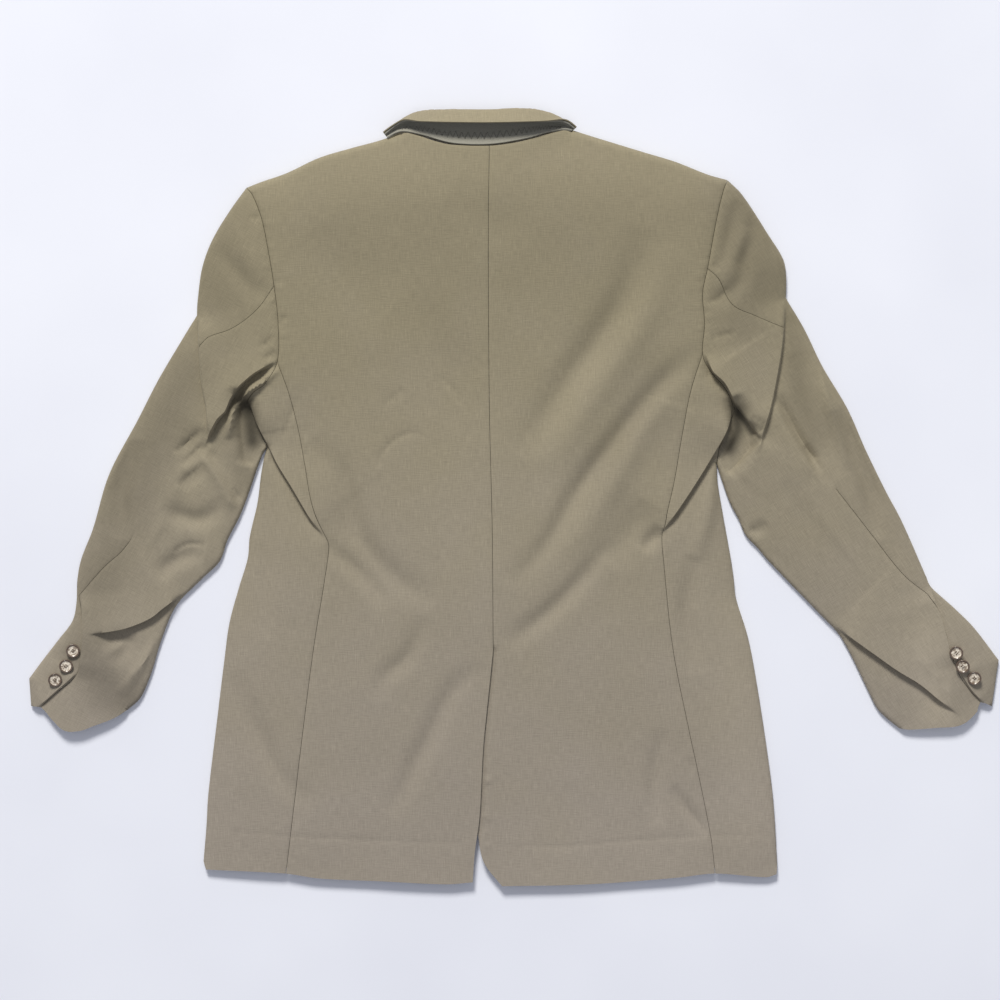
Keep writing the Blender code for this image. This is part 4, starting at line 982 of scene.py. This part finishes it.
# Rows of points beside the vent, where the right back dips.
VENT_ROWS = [moved_left(UNDER_VENT, away) for away in (0.9, 3.0, 6.0)]
BACKS = [
    # side, which way its neck and vent curves are followed, height, flat area, extra rows
    ("left", 1, cloth_height, 0.166, []),
    ("right", -1, underlap_height, 0.176, VENT_ROWS),
]
for side_name, way, height, flat_area, vent_rows in BACKS:
    curve = CURVES[side_name]
    neck, vent = NECK_CURVE[::way], curve["vent"][::way]
    shoulder_seam, turn = shoulder_seam_of(side_name)
    back = cut_piece(f"back_panel_{side_name}", top=[
        seam(stretch(curve["armhole"], curve["side_back"][0], turn)),
        hidden_seam(shoulder_seam[::-1]),
        seam(np.vstack([shoulder_seam[:1], stretch(neck, curve["shoulder"][0], CENTRE[0])[1:]])),
        seam(CENTRE),
        seam(vent),
        seam(stretch(curve["hem"], vent[-1], curve["side_back"][-1])),
        seam(curve["side_back"][::-1]),
    ], top_height=height, rows=vent_rows)
    lay(back, f"back_{side_name}", flat_area)

# ------------------------------------------------------------------ side bodies
# One piece of the wool a side, from the side back seam round the rolled side edge to its seam under the
# front. Its warp leans 4 degrees outwards on the way up to the armhole.

SIDE_GRAIN = 4.0
for side_name, curve in CURVES.items():
    side_body = cut_piece(f"side_body_{side_name}", grain=SIDE_GRAIN * INWARDS[side_name], top=[
        rolled_edge(curve["side"]),
        seam(stretch(curve["hem"], curve["side"][-1], curve["side_back"][-1])),
        seam(curve["side_back"][::-1]),
        seam(stretch(curve["armhole"], curve["side_back"][0], curve["side"][0])),
    ], under=[
        rolled_edge(curve["side"]),
        seam(curve["side_hem_under"]),
        seam(curve["front_side"][::-1]),
        seam(stretch(curve["front_armhole"], curve["front_side"][0], curve["side"][0])),
    ])
    lay(side_body, f"side_{side_name}", 0.06)

# ------------------------------------------------------------------ fronts
# The fronts lie face down on the board, cut away at the hem, and roll over the shoulders' edges. The
# left one lies over the turned lapels, and the right one over the left.

LAYER_RISE = 2.0
LAPEL_REACH = 12
LAPEL_SLOPE = 7
FRONT_REACH = 10
FRONT_SLOPE = 8
LEFT_FRONT = np.vstack([CURVES["left"][name][:-1] for name in ("front_hem", "front_edge", "roll_line")])


def front_height_of(side_name):
    """The height of a front. It rises by a layer over its lapel, and the right one over the left one too."""
    lapel = CURVES[side_name]["lapel"]

    def front_height(xy):
        over = ramp((LAPEL_REACH - nearest_on(lapel, xy)[0]) / LAPEL_SLOPE)
        rise = LAYER_RISE * np.where(inside(lapel, xy), 1, over)
        if side_name == "right":
            distance, side, _ = nearest_on(LEFT_FRONT, xy)
            rise = rise + LAYER_RISE * np.where(side > 0, 1, ramp((FRONT_REACH - distance) / FRONT_SLOPE))
        return np.maximum(rise, floor_height(xy))

    return front_height


# Rows of points where the rise over a layer starts and ends.
LAPEL_ROWS = (0.0, 5.0, 12.5)
FRONT_ROWS = (2.0, 10.5)
for side_name, curve in CURVES.items():
    shoulder_seam, turn = shoulder_seam_of(side_name)
    neck_point, shoulder_point = curve["shoulder"][0], curve["shoulder"][-1]
    front_rows = [moved_left(curve["lapel"][:-1], -away * INWARDS[side_name]) for away in LAPEL_ROWS]
    if side_name == "right":
        front_rows += [moved_left(LEFT_FRONT, -away) for away in FRONT_ROWS]
    front = cut_piece(f"front_panel_{side_name}", top=[
        rolled_edge(curve["shoulder"]),
        seam(stretch(curve["armhole"], shoulder_point, turn)),
        hidden_seam(shoulder_seam[::-1]),
        seam(np.array([shoulder_seam[0], neck_point])),
    ], under=[
        rolled_edge(curve["shoulder"]),
        seam(stretch(curve["front_armhole"], shoulder_point, curve["front_side"][0])),
        seam(curve["front_side"]),
        seam(curve["front_hem"]),
        seam(curve["front_edge"]),
        seam(curve["roll_line"]),
    ], under_height=front_height_of(side_name), rows=front_rows)
    lay(front, f"front_{side_name}", 0.145)

# ------------------------------------------------------------------ lapels
# The notched lapels, of the same wool, are folded back on the roll line and lie flat on the board under
# the fronts.

for side_name, curve in CURVES.items():
    lapel = cut_piece(f"lapel_fold_{side_name}", under=[seam(curve["lapel"])],
                      under_height=lambda xy: np.zeros(len(xy)))
    lay(lapel, f"lapel_{side_name}", 0.0125)

# ------------------------------------------------------------------ sleeves
# Two pieces a sleeve. The top sleeve rolls round the outer edge and ends in the tab that carries the
# buttons, and the under sleeve rolls round the inner edge. Both fold over themselves at the armpit.

# The under sleeve goes round the inner edge this far to its seam with the top sleeve, which leaves out the
# last samples before it meets the armhole.
UNDERSLEEVE_TURN = 15.0
ARMPIT_SAMPLES = 5
SLEEVES = [
    # side, grain, where the under sleeve's seam meets the cuff
    ("left", -28.0, LEFT["cuff_hem"][-2]),
    ("right", 32.0, RIGHT["cuff_hem"][-3]),
]
for side_name, grain, cuff_seam_end in SLEEVES:
    curve = CURVES[side_name]
    outer, inner, cuff, armhole = curve["outer"], curve["inner"], curve["cuff_hem"], curve["armhole"]
    front_armhole = curve["front_armhole"]
    armpit, shoulder_point = curve["side"][0], curve["shoulder"][-1]
    sleeve_join = curve["upper_sleeve_seam"][0]
    cuff_turn = cuff[nearest_sample(cuff, cuff_seam_end)]
    turn_end = front_armhole[-1 - round(UNDERSLEEVE_TURN / CURVE_STEP)]
    inner_turn = moved_left(inner, UNDERSLEEVE_TURN * INWARDS[side_name])
    inner_turn = np.vstack([cuff_turn, inner_turn[1:-ARMPIT_SAMPLES], turn_end])
    tab_end = cuff[nearest_sample(cuff, curve["tab_edge"][-1])]
    tab = np.vstack([curve["tab_edge"][:-1], tab_end])
    top_sleeve = cut_piece(f"top_sleeve_cloth_{side_name}", grain=grain, top=[
        rolled_edge(outer),
        seam(stretch(cuff, outer[-1], tab_end)),
        seam(tab[::-1]),
        seam(curve["lower_sleeve_seam"][::-1]),
        hidden_seam(curve["leaf_seam"][::-1]),
        seam(curve["upper_sleeve_seam"][::-1]),
        seam(stretch(armhole, sleeve_join, shoulder_point)),
    ], under=[
        rolled_edge(outer),
        seam(stretch(cuff, outer[-1], cuff_turn)),
        seam(inner_turn),
        seam(stretch(front_armhole, turn_end, shoulder_point)),
    ])
    lay(top_sleeve, f"top_sleeve_{side_name}", 0.105)
    under_sleeve = cut_piece(f"under_sleeve_cloth_{side_name}", grain=grain, top=[
        rolled_edge(inner),
        seam(stretch(armhole, armpit, sleeve_join)),
        seam(curve["upper_sleeve_seam"]),
        hidden_seam(curve["leaf_seam"]),
        seam(curve["lower_sleeve_seam"]),
        seam(tab),
        seam(stretch(cuff, tab_end, inner[0])),
    ], under=[
        rolled_edge(inner),
        seam(stretch(front_armhole, armpit, turn_end)),
        seam(inner_turn[::-1]),
        seam(stretch(cuff, cuff_turn, inner[0])),
    ])
    lay(under_sleeve, f"under_sleeve_{side_name}", 0.055)

# ------------------------------------------------------------------ collar
# The stand rises from the neck seam. Its under collar is pressed felt, and the cloth top collar rolls
# over it, so that a strip of the fall comes back above the felt with a dark gap beneath.

COLLAR_ROWS = np.array([
    # base x, y, z (neck seam), roll x, y, z (the fold at the top), edge x, y, z (free edge of the fall)
    (-129.5, 371.6, 15.5, -132.2, 375.0, 10, -129.6, 376.4, 15),
    (-114.5, 377.6, 16.5, -113, 389.0, 10, -109, 385.5, 20),
    (-93, 373.6, 19, -94, 395.5, 13, -92, 384, 26),
    (-62, 365.0, 21, -63, 397, 14, -62, 382.5, 30),
    (-24, 363.7, 22, -24, 397, 14, -24, 382, 31),
    (14, 369.7, 21, 13, 398, 14, 14, 383, 30),
    (34, 375.8, 18, 36, 394.5, 12, 35, 384.5, 25),
    (53, 379.6, 16.5, 54, 387, 10, 51, 386.5, 20),
    (61.5, 378.8, 15.5, 64, 380.8, 9.5, 62.5, 382, 14),
])
FELT_WALL = 1.4
FELT_END = 0.95
COLLAR_CLOTH_WALL = 1.2
COLLAR_GAP = 0.7
COLLAR_STATIONS = 97
SECTION_STEP = 1.6
PATH_POINTS = 30
LARGEST_BEND = 4.0
BEND_SHARE = 0.3


def collar_section(base, roll, edge):
    """The inner path of the collar at one station, from the neck seam over the roll to the free edge. It
    dips a little on its way, and rounds the roll with bends that are shares of one size."""
    out = roll - base
    reach = math.hypot(out[0], out[1])
    along = np.array([out[0] / reach, out[1] / reach, 0])
    up = np.array([0, 0, 1.0])
    bend = min(LARGEST_BEND, BEND_SHARE * reach)
    low = roll - along * bend
    return np.array([
        base,
        base + (low - base) * 0.55 - up * 0.05 * reach,
        low,
        roll + up * bend * 0.3,
        roll + up * bend * 1.1 - along * bend * 0.2,
        roll + (edge - roll) * 0.6 + up * bend * 0.4,
        edge,
    ])


def collar_path(place, end):
    """The inner path across the collar at a place along it, and a function that gives the points off it."""
    last = len(COLLAR_ROWS) - 1
    k = min(int(place), last - 1)
    before, start, finish, after = COLLAR_ROWS[np.clip([k - 1, k, k + 1, k + 2], 0, last)]
    row = between(place - k, start, finish, (finish - before) / 2, (after - start) / 2)
    section = collar_section(row[0:3], row[3:6], row[6:9])
    out = (row[3:5] - row[0:2]) / np.linalg.norm(row[3:5] - row[0:2])
    fine = smooth_curve(np.stack([(section[:, :2] - row[0:2]) @ out, section[:, 2]], axis=1), SECTION_STEP)
    spread = np.linspace(0, end, PATH_POINTS)
    fine = np.stack([np.interp(spread, np.linspace(0, 1, len(fine)), column) for column in fine.T], axis=1)

    def off_path(depth):
        moved = moved_left(fine, -depth)
        return np.column_stack([row[0:2] + moved[:, :1] * out, moved[:, 1]])

    return fine, off_path


def collar_layer(name, material, start, thickness, end):
    """One layer of the collar. It lies start outside the inner path and covers the share end of it."""
    rings, across = [], []
    for place in np.linspace(0, len(COLLAR_ROWS) - 1, COLLAR_STATIONS):
        fine, off_path = collar_path(place, end)
        rings.append(np.vstack([off_path(start), off_path(start + thickness)[::-1]]))
        lengths = np.concatenate([[0], np.cumsum(np.linalg.norm(np.diff(fine, axis=0), axis=1))])
        across.append(np.concatenate([lengths, lengths[::-1]]))
    points = np.vstack(rings) - (*PLAN_CENTRE, 0)
    count = 2 * PATH_POINTS
    last = len(points) - count
    faces = []
    for ring in range(0, last, count):
        for k in range(count):
            a, b = ring + k, ring + (k + 1) % count
            faces.append([a, a + count, b + count, b])
    for k in range(PATH_POINTS - 1):
        faces.append([k, k + 1, count - 2 - k, count - 1 - k])
        faces.append([last + count - 1 - k, last + count - 2 - k, last + k + 1, last + k])
    threads = np.column_stack([points[:, 0], np.concatenate(across)])
    mesh = sheet_mesh(name, points, faces, threads, material)
    mesh.set_sharp_from_angle(angle=math.radians(60))
    return put(name, mesh)


def sewing_thread(name, dark, light):
    """Twisted polyester thread, matt, drawn about twice its real 0.3 mm so that it shows."""
    return two_toned(name, dark, light, {"Scale": 1500.0}, {"Roughness": 0.7, "Sheen Weight": 0.3})


# Undercollar felt, pressed wool fibre with no weave: dull, grey green, a little fibrous.
FELT = two_toned("undercollar_felt", "#7f7c70", "#9d9a8c", {"Scale": 900.0, "Detail": 4.0, "Roughness": 0.7},
                 {"Roughness": 0.95, "Specular IOR Level": 0.2, "Sheen Weight": 0.3, "Sheen Roughness": 0.6},
                 relief={"Strength": 0.5, "Distance": 0.0003})
under_collar = collar_layer("collar_felt", FELT, 0.0, FELT_WALL, FELT_END)
lay(under_collar, "under_collar", 0.012)

# A zigzag machine stitch holds the felt down along the neck seam. It runs between two places on the path.
ZIGZAG_TURNS = 70
ZIGZAG_PLACES = (3, 7)
ZIGZAG_RISE = 0.4
ZIGZAG_ENDS = (1.0, len(COLLAR_ROWS) - 2.2)
ZIGZAG_THREAD_REACH = 0.3
zigzag = bpy.data.curves.new("zigzag_path", "CURVE")
zigzag.dimensions = "3D"
zigzag.bevel_depth = ZIGZAG_THREAD_REACH * MM
zigzag.bevel_resolution = 1
zigzag.use_fill_caps = True
strand = zigzag.splines.new("POLY")
strand.points.add(ZIGZAG_TURNS - 1)
for turn, place in enumerate(np.linspace(*ZIGZAG_ENDS, ZIGZAG_TURNS)):
    _, off_path = collar_path(place, 1.0)
    spot = (off_path(-ZIGZAG_RISE)[ZIGZAG_PLACES[turn % 2]] - (*PLAN_CENTRE, 0)) * MM
    strand.points[turn].co = (*spot, 1.0)
zigzag_path = put("zigzag_path", zigzag)
bpy.context.view_layer.update()
stitching = put("felt_zigzag", bpy.data.meshes.new_from_object(zigzag_path))
bpy.data.objects.remove(zigzag_path)
stitching.data.materials.clear()
stitching.data.materials.append(sewing_thread("collar_thread", "#4d4b43", "#6a675c"))
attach(stitching, "root")

top_collar = collar_layer("collar_cloth", WOOL, FELT_WALL + COLLAR_GAP, COLLAR_CLOTH_WALL, 1.0)
lay(top_collar, "top_collar", 0.013)

# ------------------------------------------------------------------ cuff buttons
# Turned horn-look buttons with a raised brown rim and a cream marbled, dished middle, sewn through four
# holes. They lie close together along the cuff's tab, and lean a little.

# Button sizes are in metres.
BUTTON_REACH = 0.0071
BUTTON_THICK = 0.0021
RIM_WIDTH = 0.0018
BUTTON_RINGS = [
    # width, how far it rises, from the edge inwards
    (0.0013, 0.0),
    (0.0006, -0.0008),
    (0.0016, -0.0002),
    (0.0018, 0.0001),
]
TURNED_EDGE = 0.0005
HOLES = 4
HOLE_PLACE = 0.0014
HOLE_REACH = 0.0007
STRAND_REACH = 0.0003
STRAND_LENGTH = 0.0024
STRAND_PLACE = 0.00099
STRAND_HEIGHT = 0.00052

# Horn: translucent brown with cream streaks, cut on a lathe and polished. It gleams softly.
HORN = two_toned("polished_horn", "#7d6a54", "#eee3cf", {"Scale": 260.0, "Detail": 4.0, "Distortion": 1.6},
                 {"Roughness": 0.28, "IOR": 1.54, "Coat Weight": 0.3, "Coat Roughness": 0.15}, (0.36, 0.62))
# The rim is cut from the darker outside of the horn.
RIM_HORN = two_toned("dark_horn", "#42342a", "#73604f", {"Scale": 420.0, "Detail": 3.0},
                     {"Roughness": 0.3, "IOR": 1.54, "Coat Weight": 0.3, "Coat Roughness": 0.15})
THREAD = sewing_thread("button_thread", "#4b3b2c", "#76624c")


def add_cylinder(**sizes):
    """A new cylinder, with nothing else selected."""
    bpy.ops.object.select_all(action="DESELECT")
    bpy.ops.mesh.primitive_cylinder_add(**sizes)
    return bpy.context.object


def take_up(item):
    item.select_set(True)
    bpy.context.view_layer.objects.active = item


def turned_button(name):
    """A disc with a raised rim and a dished middle, modelled at the origin."""
    button = add_cylinder(vertices=40, radius=BUTTON_REACH, depth=BUTTON_THICK)
    button.name = name
    bpy.ops.object.mode_set(mode="EDIT")
    bpy.ops.mesh.select_mode(type="FACE")
    bpy.ops.mesh.select_all(action="DESELECT")
    for face in bmesh.from_edit_mesh(button.data).faces:
        face.select = face.normal.z > 0.9
    bmesh.update_edit_mesh(button.data)
    for width, rise in BUTTON_RINGS:
        bpy.ops.mesh.inset(thickness=width, depth=rise)
    bpy.ops.object.mode_set(mode="OBJECT")
    edge = button.modifiers.new("turned edge", "BEVEL")
    edge.width = TURNED_EDGE
    edge.segments = 3
    edge.limit_method = "ANGLE"
    edge.angle_limit = math.radians(35)
    bpy.ops.object.modifier_apply(modifier=edge.name)
    for k in range(HOLES):
        turn = math.radians(45 + 360 / HOLES * k)
        drill = add_cylinder(vertices=12, radius=HOLE_REACH, depth=0.01,
                             location=(HOLE_PLACE * math.cos(turn), HOLE_PLACE * math.sin(turn), 0))
        hole = button.modifiers.new("hole", "BOOLEAN")
        hole.object = drill
        drill.select_set(False)
        take_up(button)
        bpy.ops.object.modifier_apply(modifier=hole.name)
        bpy.data.objects.remove(drill)
    button.data.materials.append(HORN)
    button.data.materials.append(RIM_HORN)
    for polygon in button.data.polygons:
        polygon.material_index = int(polygon.center.xy.length > BUTTON_REACH - RIM_WIDTH)
    for side in (-1, 1):
        strand = add_cylinder(vertices=8, radius=STRAND_REACH, depth=STRAND_LENGTH,
                              location=(0, STRAND_PLACE * side, STRAND_HEIGHT), rotation=(0, math.pi / 2, 0))
        strand.data.materials.append(THREAD)
        take_up(button)
        bpy.ops.object.join()
    bpy.ops.object.shade_smooth_by_angle(angle=math.radians(40))
    return button


pattern = turned_button("button_pattern")
BUTTON_LIFT = 0.0008
BUTTONS = [
    # node, tilt in degrees, heading of the tilt in degrees
    ("cuff_button_left_1", 13, -42),
    ("cuff_button_left_2", 11, -40),
    ("cuff_button_left_3", 9, -42),
    ("cuff_button_right_1", 11, -134),
    ("cuff_button_right_2", 12, -138),
    ("cuff_button_right_3", 13, -140),
]
for node, tilt, heading in BUTTONS:
    low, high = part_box(node)
    middle = (Vector(low) + Vector(high)) / 2 + Vector((0, 0, BUTTON_LIFT))
    button = put(node.replace("cuff_button", "horn_button"), pattern.data.copy())
    leaning = Matrix.Rotation(math.radians(heading), 4, "Z") @ Matrix.Rotation(math.radians(tilt), 4, "Y")
    button.data.transform(Matrix.Translation(middle) @ leaning)
    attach(button, "root")
    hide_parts(node)
bpy.data.objects.remove(pattern)
